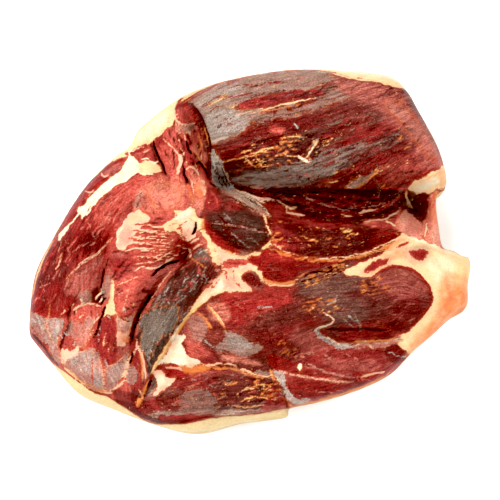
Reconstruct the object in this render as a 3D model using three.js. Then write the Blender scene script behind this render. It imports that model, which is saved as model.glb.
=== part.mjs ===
// A boned dry-cured ham that lies on its rind with the boned, muscled face up.
// Millimetres, +Z up, +X to the right along the ham, origin under its middle on the surface it lies on.
import * as THREE from "three";

// Driving dimensions.
const LENGTH = 355; // along X, over the whole ham
const RIM_HEIGHT = 38; // from the table to the widest line round the side, on average
const RIM_SWING = 10; // how much higher and lower than that the line runs
const RIM_HIGH_AT = 80; // the direction in which it runs highest, in degrees from +X
const EDGE_RISE = 13; // from the average rim up to the rind's edge
const EDGE_ROUND = 13; // how far in from the outline that rise takes
const CROWN = 16; // how much higher the middle of the face stands than its edge
const CROWN_REACH = 105; // how far in from the outline the crown keeps rising
const WAVE_HEIGHT = 1.3; // the face's slow unevenness
const WAVE_LENGTH = 58;
const REST_SHARE = 0.56; // part of the plan's radius that lies flat on the table
const RIND_FULLNESS = 2.5; // 2 would curve the underside as a quarter round, and more makes its side steeper
const FACE_TILT = 12; // degrees that the line square to the face leans from +Z towards -Y
const FACE_LEVEL = 62; // height at which the drawing below is true to size

// Places on the face are given on a square drawing of it, SQUARES wide, seen square to the face.
const SQUARES = 500;
const SQUARES_LONG = 445; // the ham's length on the drawing
const SQUARE = LENGTH / SQUARES_LONG;
const MIDDLE = [248, 251]; // where the grid of the face is centred

// Facets: the face is a grid of FACE_CELLS squares a side, and the underside has half as many.
const FACE_CELLS = 64;
const RIM_CROWDING = 1.25; // above 1, the grid is finer towards the rim
const SOFTENING = 2; // rounds in which each height is drawn towards its neighbours'
const SPAN_STEPS = 5;

// The outline, with the points close together only at its corners.
const OUTLINE = [
  [28, 334], [28, 312], [33, 274], [48, 242], [68, 207], [88, 179], [113, 155], [127, 145],
  [137, 127], [163, 105], [187, 90], [224, 77], [277, 67], [312, 65], [352, 67], [391, 72],
  [409, 86], [424, 112], [440, 142], [449, 172], [448, 188], [439, 199], [441, 226],
  [445, 247], [456, 251], [464, 256], [470, 257], [473, 266], [470, 284], [468, 308],
  [450, 320], [434, 335], [416, 350], [392, 374], [362, 389], [325, 401], [290, 409],
  [285, 418], [240, 424], [199, 434], [158, 426], [112, 409], [78, 394], [55, 369], [34, 344],
];

// What stands out on the face: outline on the drawing, how far it stands out, and how wide its shoulder is.
const SWELLS = {
  meat: {
    outline: [[26, 336], [24, 300], [40, 240], [80, 172], [126, 138], [168, 96], [226, 72],
      [300, 60], [396, 66], [440, 132], [454, 190], [450, 246], [474, 266], [468, 312], [418, 354],
      [362, 393], [288, 410], [212, 415], [165, 422], [145, 418], [109, 394], [74, 375], [54, 364]],
    rise: 9, shoulder: 9,
  },
  topside: {
    outline: [[184, 104], [224, 70], [300, 56], [400, 62], [440, 136], [446, 180], [412, 189],
      [340, 189], [280, 187], [236, 178], [212, 158], [202, 126]],
    rise: 17, shoulder: 16,
  },
  topside_crown: {
    outline: [[204, 108], [250, 84], [320, 74], [388, 86], [424, 140], [428, 168], [380, 180],
      [310, 178], [250, 170], [216, 146]],
    rise: 14, shoulder: 36,
  },
  tongue: {
    outline: [[204, 218], [222, 209], [250, 212], [268, 222], [266, 238], [246, 251], [222, 244], [207, 231]],
    rise: 8, shoulder: 12,
  },
  strip: {
    outline: [[272, 216], [330, 225], [398, 222], [410, 233], [380, 247], [330, 258], [292, 255], [272, 240]],
    rise: 9, shoulder: 13,
  },
  silverside: {
    outline: [[226, 284], [262, 274], [310, 279], [362, 266], [404, 268], [430, 292], [426, 312],
      [402, 327], [330, 334], [286, 356], [240, 366], [200, 362], [188, 338], [200, 308]],
    rise: 16, shoulder: 34,
  },
  flank: {
    outline: [[292, 362], [326, 340], [392, 342], [412, 350], [384, 376], [340, 393], [292, 403], [276, 382]],
    rise: 8, shoulder: 16,
  },
  heel: {
    outline: [[166, 388], [204, 368], [268, 378], [283, 404], [240, 412], [190, 419], [156, 412]],
    rise: 7, shoulder: 15,
  },
  shank: {
    outline: [[198, 264], [216, 262], [206, 290], [184, 330], [164, 372], [150, 384], [140, 364],
      [144, 326], [166, 290]],
    rise: 7, shoulder: 14,
  },
  striated: {
    outline: [[122, 214], [174, 226], [184, 246], [164, 276], [138, 318], [128, 342], [110, 318],
      [106, 268], [112, 238]],
    rise: 8, shoulder: 16,
  },
  outer: {
    outline: [[58, 212], [108, 168], [158, 158], [166, 190], [124, 212], [108, 250], [98, 298],
      [60, 314], [34, 306], [38, 262]],
    rise: 10, shoulder: 26,
  },
  flap: {
    outline: [[68, 320], [100, 306], [122, 332], [130, 362], [112, 386], [84, 382], [62, 354]],
    rise: 7, shoulder: 14,
  },
  wedge: {
    outline: [[134, 190], [166, 166], [184, 182], [198, 214], [174, 222], [140, 214]],
    rise: 5, shoulder: 12,
  },
  knuckle: {
    outline: [[166, 146], [172, 112], [186, 106], [196, 138], [200, 172], [186, 182], [170, 166]],
    rise: 7, shoulder: 11,
  },
};

// Clefts between the muscles: the line each one follows, how deep it is, and half its width.
const CLEFTS = {
  under_topside: { line: [[226, 180], [262, 199], [320, 206], [376, 207], [420, 204]], depth: 24, half: 11 },
  beside_topside: { line: [[182, 100], [198, 128], [207, 164], [226, 190]], depth: 8, half: 7 },
  bone_hollow: { line: [[182, 240], [186, 256]], depth: 10, half: 8 },
  long_cleft: { line: [[190, 254], [166, 276], [144, 306], [134, 332], [132, 354]], depth: 8, half: 8 },
  seam: { line: [[224, 268], [198, 306], [174, 350], [158, 386], [144, 404]], depth: 5, half: 8 },
  fold: { line: [[304, 330], [344, 334], [394, 332]], depth: 7, half: 8 },
  inner_crease: { line: [[110, 260], [102, 290], [100, 304]], depth: 4, half: 7 },
  slot: { line: [[152, 140], [160, 162], [169, 184]], depth: 5, half: 7 },
  end_pocket: { line: [[414, 204], [424, 220]], depth: 12, half: 9 },
};

const mix = (a, b, t) => a + (b - a) * t;

// The Catmull-Rom spline between b and c.
function spline(a, b, c, d, t) {
  const cubic = (3 * (b - c) + d - a) * t;
  return b + 0.5 * t * (c - a + t * (2 * a - 5 * b + 4 * c - d + cubic));
}

// A smooth closed curve through the points, as a list of points SPAN_STEPS to a span.
function closedCurve(points) {
  const n = points.length;
  const curve = [];
  for (let i = 0; i < n; i++) {
    const [a, b, c, d] = [-1, 0, 1, 2].map((k) => points[(i + k + n) % n]);
    for (let step = 0; step < SPAN_STEPS; step++) {
      const t = step / SPAN_STEPS;
      curve.push([0, 1].map((k) => spline(a[k], b[k], c[k], d[k], t)));
    }
  }
  return curve;
}

// How far p is from the segment from a to b, in squares.
function segmentDistance(p, a, b) {
  const along = [b[0] - a[0], b[1] - a[1]];
  const from = [p[0] - a[0], p[1] - a[1]];
  const share = (from[0] * along[0] + from[1] * along[1]) / (along[0] ** 2 + along[1] ** 2);
  const t = Math.min(1, Math.max(0, share));
  return Math.hypot(from[0] - t * along[0], from[1] - t * along[1]);
}

// How far p lies inside a closed curve, in millimetres, and below zero outside it.
function depthInside(p, curve) {
  let inside = false;
  let nearest = Infinity;
  curve.forEach((b, i) => {
    const a = curve[(i + curve.length - 1) % curve.length];
    nearest = Math.min(nearest, segmentDistance(p, a, b));
    const crosses = a[1] > p[1] !== b[1] > p[1];
    if (crosses && p[0] < a[0] + ((p[1] - a[1]) / (b[1] - a[1])) * (b[0] - a[0])) inside = !inside;
  });
  return (inside ? nearest : -nearest) * SQUARE;
}

// How far p is from an open line, in millimetres.
function lineDistance(p, line) {
  const gaps = line.slice(1).map((b, i) => segmentDistance(p, line[i], b));
  return Math.min(...gaps) * SQUARE;
}

// A quarter round from 0 at 0, where it is upright, to 1 at 1, level from there on.
function roundOver(x) {
  const short = 1 - Math.min(1, Math.max(0, x));
  return Math.sqrt(1 - short * short);
}

// A softer swell from 0 at 0 to 1 at 1, level from there on.
function swellOver(x) {
  return Math.sin((Math.PI / 2) * Math.min(1, Math.max(0, x)));
}

const outlineCurve = closedCurve(OUTLINE);
const swells = Object.values(SWELLS).map((s) => ({ ...s, curve: closedCurve(s.outline) }));
const clefts = Object.values(CLEFTS);

// The outline's point in the direction of an angle from MIDDLE.
function outlineAt(angle) {
  const direction = [Math.cos(angle), -Math.sin(angle)];
  let reach = 0;
  outlineCurve.forEach((b, i) => {
    const a = outlineCurve[(i + outlineCurve.length - 1) % outlineCurve.length];
    const edge = [b[0] - a[0], b[1] - a[1]];
    const from = [a[0] - MIDDLE[0], a[1] - MIDDLE[1]];
    const turn = direction[0] * edge[1] - direction[1] * edge[0];
    const share = (from[0] * direction[1] - from[1] * direction[0]) / turn;
    const distance = (from[0] * edge[1] - from[1] * edge[0]) / turn;
    if (share >= 0 && share <= 1) reach = Math.max(reach, distance);
  });
  return [MIDDLE[0] + reach * direction[0], MIDDLE[1] + reach * direction[1]];
}

// The height of the rim in a direction from MIDDLE.
function rimHeight(angle) {
  return RIM_HEIGHT + RIM_SWING * Math.cos(angle - THREE.MathUtils.degToRad(RIM_HIGH_AT));
}

// The slow unevenness of the face.
function wave(p) {
  const [a, b] = [(p[0] * 2 * Math.PI) / WAVE_LENGTH, (p[1] * 2 * Math.PI) / WAVE_LENGTH];
  return WAVE_HEIGHT * Math.sin(a + 1.7 * Math.sin(b / 2)) * Math.sin(b + 1.1 * Math.sin(a / 3));
}

// The height of the face over the table at a point of the drawing, inside a rim of the height given.
function faceHeight(p, rim) {
  const edge = depthInside(p, outlineCurve);
  const overEdge = roundOver(edge / EDGE_ROUND);
  let relief = CROWN * swellOver(edge / CROWN_REACH) + wave(p);
  for (const { curve, rise, shoulder } of swells) {
    relief += rise * swellOver(depthInside(p, curve) / shoulder);
  }
  for (const { line, depth, half } of clefts) {
    relief -= depth * Math.exp(-((lineDistance(p, line) / half) ** 2));
  }
  return mix(rim, RIM_HEIGHT + EDGE_RISE + relief, overEdge);
}

// The point that the drawing shows at p when it stands at this height.
function place(p, height) {
  const tilt = THREE.MathUtils.degToRad(FACE_TILT);
  const up = (SQUARES / 2 - p[1]) * SQUARE;
  const y = (up - (height - FACE_LEVEL) * Math.sin(tilt)) / Math.cos(tilt);
  return new THREE.Vector3((p[0] - SQUARES / 2) * SQUARE, y, height);
}

// A point of a square grid from -1 to 1, moved to the unit disc: radius and angle.
function toDisc(a, b) {
  if (a === 0 && b === 0) return [0, 0];
  if (Math.abs(a) >= Math.abs(b)) return [Math.abs(a), (Math.PI / 4) * (b / a) + (a < 0 ? Math.PI : 0)];
  return [Math.abs(b), Math.PI / 2 - (Math.PI / 4) * (a / b) + (b < 0 ? Math.PI : 0)];
}

// What make gives for each corner of a grid of cells a side, called with the corner's radius and angle on the disc.
function discGrid(cells, make) {
  const grid = [];
  for (let i = 0; i <= cells; i++) {
    grid.push([]);
    for (let j = 0; j <= cells; j++) {
      const [ring, angle] = toDisc((2 * i) / cells - 1, (2 * j) / cells - 1);
      grid[i].push(make(1 - (1 - ring) ** RIM_CROWDING, angle));
    }
  }
  return grid;
}

// Draws each height inside the rim halfway to the mean of its four neighbours'.
function soften(grid) {
  return grid.map((row, i) =>
    row.map((corner, j) => {
      if (i === 0 || j === 0 || i === grid.length - 1 || j === grid.length - 1) return corner;
      const around = [grid[i - 1][j], grid[i + 1][j], row[j - 1], row[j + 1]];
      const mean = around.reduce((sum, c) => sum + c.height, 0) / around.length;
      return { ...corner, height: mix(corner.height, mean, 0.5) };
    }),
  );
}

// The face as a grid of points.
function facePoints() {
  let grid = discGrid(FACE_CELLS, (radius, angle) => {
    const edge = outlineAt(angle);
    const rim = rimHeight(angle);
    const p = [mix(MIDDLE[0], edge[0], radius), mix(MIDDLE[1], edge[1], radius)];
    return { p, height: radius === 1 ? rim : faceHeight(p, rim) };
  });
  for (let round = 0; round < SOFTENING; round++) grid = soften(grid);
  return grid.map((row) => row.map(({ p, height }) => place(p, height)));
}

// The underside as a grid of points round a middle: flat there, and rounding up to the rim.
function rindPoints(middle) {
  return discGrid(FACE_CELLS / 2, (radius, angle) => {
    const rim = place(outlineAt(angle), rimHeight(angle));
    const swell = Math.max(0, (radius - REST_SHARE) / (1 - REST_SHARE));
    const height = rim.z * (1 - (1 - swell ** RIND_FULLNESS) ** (1 / RIND_FULLNESS));
    return new THREE.Vector3(mix(middle.x, rim.x, radius), mix(middle.y, rim.y, radius), height);
  });
}

function hamGeometry() {
  const points = [];
  const index = [];
  const add = (point) => points.push(point) - 1;
  const face = facePoints();
  const box = new THREE.Box3().setFromPoints(face.flat());
  const middle = box.getCenter(new THREE.Vector3());
  const faceIndex = face.map((row) => row.map(add));
  const last = FACE_CELLS / 2;
  const onRim = (i, j) => i === 0 || j === 0 || i === last || j === last;
  const rindIndex = rindPoints(middle).map((row, i) =>
    row.map((point, j) => (onRim(i, j) ? faceIndex[2 * i][2 * j] : add(point))),
  );
  const distance = (a, b) => points[a].distanceTo(points[b]);
  // Two triangles to a cell, split along its shorter diagonal.
  const cells = (grid, flip) => {
    for (let i = 0; i + 1 < grid.length; i++) {
      for (let j = 0; j + 1 < grid.length; j++) {
        const [a, b, c, d] = [grid[i][j], grid[i + 1][j], grid[i + 1][j + 1], grid[i][j + 1]];
        const pair = distance(a, c) < distance(b, d) ? [a, b, c, a, c, d] : [a, b, d, b, c, d];
        index.push(...(flip ? pair.reverse() : pair));
      }
    }
  };
  cells(faceIndex, false);
  cells(rindIndex, true);
  // Each side of the underside has one edge for two of the face's, and a triangle closes each gap.
  for (let k = 0; k < FACE_CELLS; k += 2) {
    index.push(faceIndex[k][0], faceIndex[k + 2][0], faceIndex[k + 1][0]);
    index.push(faceIndex[k + 2][FACE_CELLS], faceIndex[k][FACE_CELLS], faceIndex[k + 1][FACE_CELLS]);
    index.push(faceIndex[0][k + 2], faceIndex[0][k], faceIndex[0][k + 1]);
    index.push(faceIndex[FACE_CELLS][k], faceIndex[FACE_CELLS][k + 2], faceIndex[FACE_CELLS][k + 1]);
  }
  const geometry = new THREE.BufferGeometry().setFromPoints(points);
  geometry.setIndex(index);
  geometry.translate(-middle.x, -middle.y, 0);
  geometry.computeVertexNormals();
  return geometry;
}

const curedMeat = new THREE.MeshStandardMaterial({ color: 0x7a2420, roughness: 0.45, metalness: 0 });

const ham = new THREE.Mesh(hamGeometry(), curedMeat);
ham.name = "ham";

const part = new THREE.Group();
part.add(ham);

export default part;
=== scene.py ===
"""A boned dry-cured ham on its rind, open face up.

The form follows the frame's solid with finer relief, and the colours of lean, fat and films are painted on
its points, with painted sheen on the films and painted shade in the clefts. Places on the face are given on a
square drawing of it, SQUARES wide, as in the part's own source.
"""
import math

import bpy
import numpy as np
from mathutils import Matrix, Vector


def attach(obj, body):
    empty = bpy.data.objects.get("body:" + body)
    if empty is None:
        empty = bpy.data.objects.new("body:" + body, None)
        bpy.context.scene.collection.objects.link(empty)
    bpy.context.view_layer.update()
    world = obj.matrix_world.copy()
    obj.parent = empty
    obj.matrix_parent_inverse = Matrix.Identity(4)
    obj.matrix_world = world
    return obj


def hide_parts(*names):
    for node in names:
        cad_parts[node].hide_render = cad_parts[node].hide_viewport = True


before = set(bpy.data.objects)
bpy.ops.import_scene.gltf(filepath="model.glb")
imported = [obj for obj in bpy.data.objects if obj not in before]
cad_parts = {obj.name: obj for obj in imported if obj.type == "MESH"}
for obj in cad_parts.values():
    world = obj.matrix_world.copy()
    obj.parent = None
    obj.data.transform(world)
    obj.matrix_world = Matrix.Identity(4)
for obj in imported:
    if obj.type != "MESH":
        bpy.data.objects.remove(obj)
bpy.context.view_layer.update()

# Driving dimensions, in millimetres.
LENGTH = 355
RIM_HEIGHT = 38
RIM_SWING = 10
RIM_HIGH_AT = math.radians(80)
EDGE_RISE = 13
EDGE_ROUND = 8
FOOT_WIDTH = 0.9
CROWN = 16
CROWN_REACH = 105
WAVE_HEIGHT = 1.3
WAVE_LENGTH = 58
WAVE_SWAY_U, WAVE_SWAY_V = 1.7, 1.1
REST_SHARE = 0.56
RIND_FULLNESS = 2.5
FACE_TILT = math.radians(12)
FACE_LEVEL = 62
FIBRE_RELIEF = 0.35
LUMP_RELIEF = 0.7
RELIEF_FADE = 4
RIND_RELIEF = 0.5
FAT_LINE_TOP = 45
METRES = 0.001
MILLIMETRES = (1000, 1000, 1000)

# The drawing of the face.
SQUARES = 500
SQUARES_LONG = 445
SQUARE = LENGTH / SQUARES_LONG
MIDDLE = (248, 251)

# The grid of the face, and the rings of the underside.
FACE_CELLS = 288
RIM_CROWDING = 1.25
SOFTENING = 8
RIND_RINGS = 16
SPAN_STEPS = 5

OUTLINE = [
    (28, 334), (28, 312), (33, 274), (48, 242), (68, 207), (88, 179), (113, 155), (127, 145),
    (137, 127), (163, 105), (187, 90), (224, 77), (277, 67), (312, 65), (352, 67), (391, 72),
    (409, 86), (424, 112), (440, 142), (449, 172), (448, 188), (439, 199), (441, 226),
    (445, 247), (456, 251), (464, 256), (470, 257), (473, 266), (470, 284), (468, 308),
    (450, 320), (434, 335), (416, 350), (392, 374),
    (362, 389), (325, 401), (290, 409), (285, 418), (240, 424), (199, 434), (158, 426),
    (112, 409), (78, 394), (55, 369), (34, 344),
]

# What stands out on the face: outline, how far it stands out, and how wide its shoulder is.
SWELLS = {
    "meat": (
        [(26, 336), (24, 300), (40, 240), (80, 172), (126, 138), (168, 96), (226, 72), (300, 60),
         (396, 66), (440, 132), (454, 190), (450, 246), (474, 266), (468, 312), (418, 354), (362, 393),
         (288, 410), (212, 415), (165, 422), (145, 418), (109, 394), (74, 375), (54, 364)], 9, 9),
    "topside": (
        [(184, 104), (224, 70), (300, 56), (400, 62), (440, 136), (446, 180), (412, 189), (340, 189),
         (280, 187), (236, 178), (212, 158), (202, 126)], 17, 16),
    "topside_crown": (
        [(204, 108), (250, 84), (320, 74), (388, 86), (424, 140), (428, 168), (380, 180), (310, 178),
         (250, 170), (216, 146)], 14, 36),
    "tongue": (
        [(204, 218), (222, 209), (250, 212), (268, 222), (266, 238), (246, 251), (222, 244), (207, 231)],
        8, 12),
    "strip": (
        [(272, 216), (330, 225), (398, 222), (410, 233), (380, 247), (330, 258), (292, 255), (272, 240)],
        9, 13),
    "silverside": (
        [(226, 284), (262, 274), (310, 279), (362, 266), (404, 268), (430, 292), (426, 312), (402, 327),
         (330, 334), (286, 356), (240, 366), (200, 362), (188, 338), (200, 308)], 16, 34),
    "flank": (
        [(292, 362), (326, 340), (392, 342), (412, 350), (384, 376), (340, 393), (292, 403), (276, 382)],
        8, 16),
    "heel": (
        [(166, 388), (204, 368), (268, 378), (283, 404), (240, 412), (190, 419), (156, 412)], 7, 15),
    "shank": (
        [(198, 264), (216, 262), (206, 290), (184, 330), (164, 372), (150, 384), (140, 364), (144, 326),
         (166, 290)], 7, 14),
    "striated": (
        [(122, 214), (174, 226), (184, 246), (164, 276), (138, 318), (128, 342), (110, 318), (106, 268),
         (112, 238)], 8, 16),
    "outer": (
        [(58, 212), (108, 168), (158, 158), (166, 190), (124, 212), (108, 250), (98, 298), (60, 314),
         (34, 306), (38, 262)], 10, 26),
    "flap": (
        [(68, 320), (100, 306), (122, 332), (130, 362), (112, 386), (84, 382), (62, 354)], 7, 14),
    "wedge": (
        [(134, 190), (166, 166), (184, 182), (198, 214), (174, 222), (140, 214)], 5, 12),
    "knuckle": (
        [(166, 146), (172, 112), (186, 106), (196, 138), (200, 172), (186, 182), (170, 166)], 7, 11),
}

# Clefts between the muscles: line, depth, and half width.
CLEFTS = {
    "under_topside": ([(226, 180), (262, 199), (320, 206), (376, 207), (420, 204)], 24, 11),
    "beside_topside": ([(182, 100), (198, 128), (207, 164), (226, 190)], 8, 7),
    "bone_hollow": ([(182, 240), (186, 256)], 10, 8),
    "long_cleft": ([(190, 254), (166, 276), (144, 306), (134, 332), (132, 354)], 8, 8),
    "seam": ([(224, 268), (198, 306), (174, 350), (158, 386), (144, 404)], 5, 8),
    "fold": ([(304, 330), (344, 334), (394, 332)], 7, 8),
    "inner_crease": ([(110, 260), (102, 290), (100, 304)], 4, 7),
    "slot": ([(152, 140), (160, 162), (169, 184)], 5, 7),
    "end_pocket": ([(414, 204), (424, 220)], 12, 9),
}

# Colours of the surface, as red, green and blue from 0 to 255, before BRIGHTNESS dims them. Black is painted
# shade in the clefts. The film, silver and ash colours are grey dried films that also carry painted sheen,
# sheen is a smooth film painted as a highlight, and slate is grey-brown lean that some patches use as painted
# sheen.
PALETTE = {
    "black": (26, 1, 1), "deep": (52, 4, 3), "maroon": (82, 13, 12), "wine": (106, 24, 22),
    "brown": (124, 48, 39), "umber": (100, 38, 32), "red": (152, 44, 41), "blood": (147, 32, 29),
    "scarlet": (180, 48, 43), "rose": (184, 94, 82), "coral": (202, 86, 73), "salmon": (236, 132, 108),
    "blush": (240, 158, 134), "film": (190, 156, 136), "silver": (210, 204, 188), "slate": (118, 86, 74),
    "pink": (250, 200, 168), "cream": (252, 216, 162), "ivory": (254, 244, 208), "yellow": (255, 214, 142),
    "amber": (210, 118, 56), "orange": (246, 152, 84), "rind": (248, 218, 164), "skin": (226, 184, 126),
    "char": (74, 52, 42), "ash": (164, 144, 128), "peach": (250, 140, 82), "sheen": (204, 196, 180),
}
BRIGHTNESS = 0.6

# How the picture is developed: stops of exposure, and the light that counts as black.
EXPOSURE = 0.25
BLACK_POINT = 0.012

# How ragged the edges are of what lies over the lean, from smooth rind to torn films, whose grey carries
# painted sheen. The material tells the kinds of cover apart by this number.
RIND, FAT, SMOOTH_FILM_AND_SHEEN, FLECK, FILM_AND_SHEEN = 0.12, 0.38, 0.55, 0.6, 0.8
COVERS = {
    "pink": FAT, "cream": FAT, "ivory": FAT, "peach": FAT, "rind": RIND, "skin": RIND, "sheen": SMOOTH_FILM_AND_SHEEN,
    "film": FILM_AND_SHEEN, "silver": FILM_AND_SHEEN, "ash": FILM_AND_SHEEN, "blush": FILM_AND_SHEEN,
    "yellow": FLECK, "amber": FLECK, "orange": FLECK,
}
# Black is painted shade: the material draws it in the cracks between the muscles, where shade falls.
SHADED_CRACKS = {"black"}

# Fields of paint pass EDGE at the edge of what is painted. Lean paint stronger than CUTS takes away what lies
# over the lean, and weaker paint tints it by TINT. A cover's colour reaches SPILL squares past its edge. What
# is above THINNEST_COVER and tears less than TORN counts as fat.
EDGE = 0.5
CUTS = 0.6
TINT = 0.5
SPILL = 2
THINNEST_COVER, TORN = 0.2, 0.5
FAR_OUTSIDE = -9.0
MARGIN = 4

# Sizes of the noise that makes edges ragged, in squares, and of the streaks along and across the fibres, in
# millimetres.
PATCH_RAGS, LINE_RAGS = 6, 5
STREAK_LENGTH, STREAK_WIDTH, STREAK_DEPTH = 12, 2.2, 1.4

# How far apart the muscles lie in the noise of their fibres, so that each has its own.
GRAIN_STEP = 37.0

# How much strewn threads differ: their turn in degrees, half length, bend and width.
THREAD_TURN = 14
THREAD_LENGTHS = (0.3, 0.8)
THREAD_BEND = 0.12
THREAD_WIDTHS = (0.6, 1.4)
THREAD_RAGGED = 1.2

# Seeds of the noise. A muscle's number is added to those of its streaks.
WANDER_SEEDS = (5, 9)
STREAK_SEED, PATCHY_SEED, FIBRE_SEED, LUMP_SEED = 20, 40, 61, 71
BLOTCH_SEED, FAT_LINE_SEED, FRECKLE_SEED, RIND_SEED = 83, 85, 87, 91
FOOT_FAT_SEED, FOOT_SKIN_SEED = 97, 99

# How rough bare rind, the face before it is painted, and fat are, from 0 for a mirror to 1 for chalk.
RIND_ROUGH = 0.5
FACE_ROUGH = 0.4
FAT_ROUGH = 0.36

# Linear colours that the material mixes in: of flecks, of warmer fat, of the line round what covers the lean
# (painted shade round fat and rind, orange round flecks), of the painted shade in and beside cracks and of
# fine veins.
# Then how much it shines, and how deep its bumps are in metres.
FLECK_DARK, FLECK_LIGHT = (0.36, 0.13, 0.035, 1), (0.72, 0.42, 0.16, 1)
FAT_BLUSH = (0.78, 0.35, 0.2, 1)
HALO_SHADE, FLECK_HALO = (0.34, 0.06, 0.022, 1), (0.46, 0.11, 0.025, 1)
CRACK_SHADE, CRACK_SIDE_SHADE = (0.012, 0.0008, 0.0006, 1), (0.09, 0.008, 0.005, 1)
VEIN = (0.58, 0.3, 0.2, 1)
SHINE = 0.03
BUMP_DEPTH = 0.0014

# The studio, in metres and watts: each light's place, size and power, then the sky, the floor and the camera.
LIGHTS = {
    "window": ((-0.7, 1.0, 1.3), (1.3, 0.9), 30),
    "left": ((-1.3, -0.3, 1.0), (0.9, 0.9), 18),
    "right": ((1.3, 0.2, 1.2), (0.9, 0.9), 17),
    "front": ((0.2, -1.3, 1.2), (0.9, 0.9), 13),
}
SKY = (1, 1, 1, 1)
SKY_STRENGTH = 0.48
FLOOR_HALF = 4.0
FLOOR_DROP = -0.0004
FLOOR_COLOUR = (0.96, 0.96, 0.96)
FLOOR_ROUGH = 0.9
LENS, SENSOR = 180.0, 36.0
NEAREST, FARTHEST = 0.05, 20

# Each muscle's ground: three colours that streak into each other, how strongly its fibres show, how rough its
# dry surface is, how many pale flecks it has, and two lines between which its fibres run.
GROUNDS = {
    "topside": (("brown", "wine", "slate"), 1.0, 0.42, 0.25,
                [(176, 104), (208, 86), (250, 66), (310, 50), (380, 40), (450, 36)],
                [(196, 178), (240, 184), (290, 186), (322, 180), (380, 154), (450, 118)]),
    "tongue": (("umber", "brown", "slate"), 0.8, 0.45, 0.1,
               [(200, 214), (235, 208), (272, 220)], [(205, 242), (240, 254), (268, 248)]),
    "strip": (("wine", "maroon", "brown"), 0.9, 0.4, 0.35,
              [(262, 212), (330, 220), (410, 212)], [(262, 284), (330, 268), (400, 240)]),
    "silverside": (("brown", "red", "umber"), 0.9, 0.42, 0.2,
                   [(200, 290), (240, 272), (300, 268), (360, 260), (410, 258), (446, 290)],
                   [(186, 350), (240, 368), (290, 356), (330, 336), (380, 330), (436, 312)]),
    "flank": (("red", "rose", "wine"), 0.7, 0.4, 0.05,
              [(280, 352), (330, 334), (400, 334)], [(280, 404), (340, 396), (410, 352)]),
    "heel": (("brown", "red", "film"), 0.8, 0.42, 0.3,
             [(160, 372), (220, 362), (280, 372)], [(160, 424), (220, 416), (290, 408)]),
    "shank": (("umber", "slate", "brown"), 0.8, 0.46, 0.1,
              [(196, 256), (160, 290), (140, 330), (136, 390)],
              [(218, 268), (190, 320), (165, 365), (145, 400)]),
    "striated": (("coral", "red", "rose"), 0.5, 0.38, 0.1,
                 [(108, 210), (180, 222)], [(108, 262), (180, 262)]),
    "outer": (("red", "coral", "wine"), 0.7, 0.36, 0.05,
              [(33, 300), (46, 242), (64, 206), (84, 177), (128, 145)],
              [(105, 320), (108, 262), (118, 225), (140, 200), (175, 185)]),
    "flap": (("rose", "coral", "red"), 0.4, 0.4, 0.05,
             [(60, 300), (62, 350), (90, 392)], [(120, 300), (130, 350), (134, 392)]),
    "wedge": (("salmon", "coral", "rose"), 0.3, 0.38, 0.02,
              [(124, 200), (160, 172), (184, 160)], [(140, 216), (176, 214), (200, 196)]),
    "knuckle": (("coral", "red", "wine"), 0.4, 0.38, 0.05,
                [(164, 150), (172, 104)], [(204, 176), (194, 106)]),
}

# Where short threads of sinew, fat and dried meat are strewn over the face.
THREAD_FIELDS = {
    "outer": [(96, 182), (116, 166), (122, 166), (140, 176), (124, 206), (112, 250), (104, 280), (70, 296),
              (36, 300), (44, 262), (62, 232)],
    "wedge": [(140, 190), (166, 172), (186, 182), (196, 204), (170, 214), (146, 212)],
    "stripes": [(128, 222), (176, 224), (186, 244), (166, 270), (146, 310), (124, 318), (114, 280)],
    "lower": [(34, 318), (66, 306), (104, 304), (120, 300), (132, 320), (134, 368), (112, 390), (72, 372)],
    "knuckle": [(166, 130), (180, 124), (196, 122), (204, 146), (208, 184), (196, 190), (180, 176),
                (166, 158)],
    "border": [(150, 128), (168, 108), (178, 106), (180, 126), (164, 138)],
    "shank": [(170, 280), (196, 266), (208, 278), (184, 316), (162, 360), (148, 376), (142, 340), (150, 310)],
    "tongue": [(212, 216), (248, 214), (264, 222), (266, 240), (246, 246), (222, 236)],
    "back": [(196, 108), (240, 84), (320, 72), (390, 82), (420, 124), (438, 164), (400, 184), (300, 184),
             (240, 178), (212, 158)],
    "sheen": [(238, 176), (290, 166), (350, 144), (398, 130), (406, 140), (360, 164), (320, 182), (250, 186)],
    "pale": [(242, 174), (290, 165), (330, 152), (352, 146), (342, 166), (320, 180), (252, 185)],
    "crusty": [(240, 150), (262, 144), (300, 134), (316, 140), (306, 162), (270, 168), (246, 166)],
    "strip": [(274, 222), (330, 228), (396, 228), (380, 244), (330, 254), (294, 250)],
    "crumbs": [(300, 280), (318, 270), (344, 264), (348, 270), (326, 280), (306, 286)],
    "broad": [(214, 300), (250, 284), (310, 284), (362, 278), (400, 272), (426, 292), (420, 312), (396, 326),
              (330, 326), (286, 350), (240, 358), (200, 350)],
    "right": [(366, 274), (400, 270), (424, 290), (422, 312), (398, 328), (372, 324)],
    "flecks_right": [(358, 280), (382, 276), (388, 290), (364, 296)],
    "flecks_middle": [(300, 300), (316, 296), (338, 301), (336, 312), (316, 312), (302, 308)],
    "flecks_low": [(274, 338), (290, 342), (304, 352), (296, 357), (280, 350)],
    "thin": [(286, 352), (330, 350), (384, 350), (396, 360), (366, 380), (320, 394), (292, 392)],
    "heel": [(164, 386), (206, 372), (266, 378), (282, 400), (240, 408), (170, 410)],
    "streaky": [(222, 384), (254, 378), (278, 382), (282, 400), (244, 406), (224, 400)],
    "pocket": [(250, 192), (300, 196), (380, 196), (404, 196), (380, 212), (320, 216), (284, 206)],
}
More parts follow.
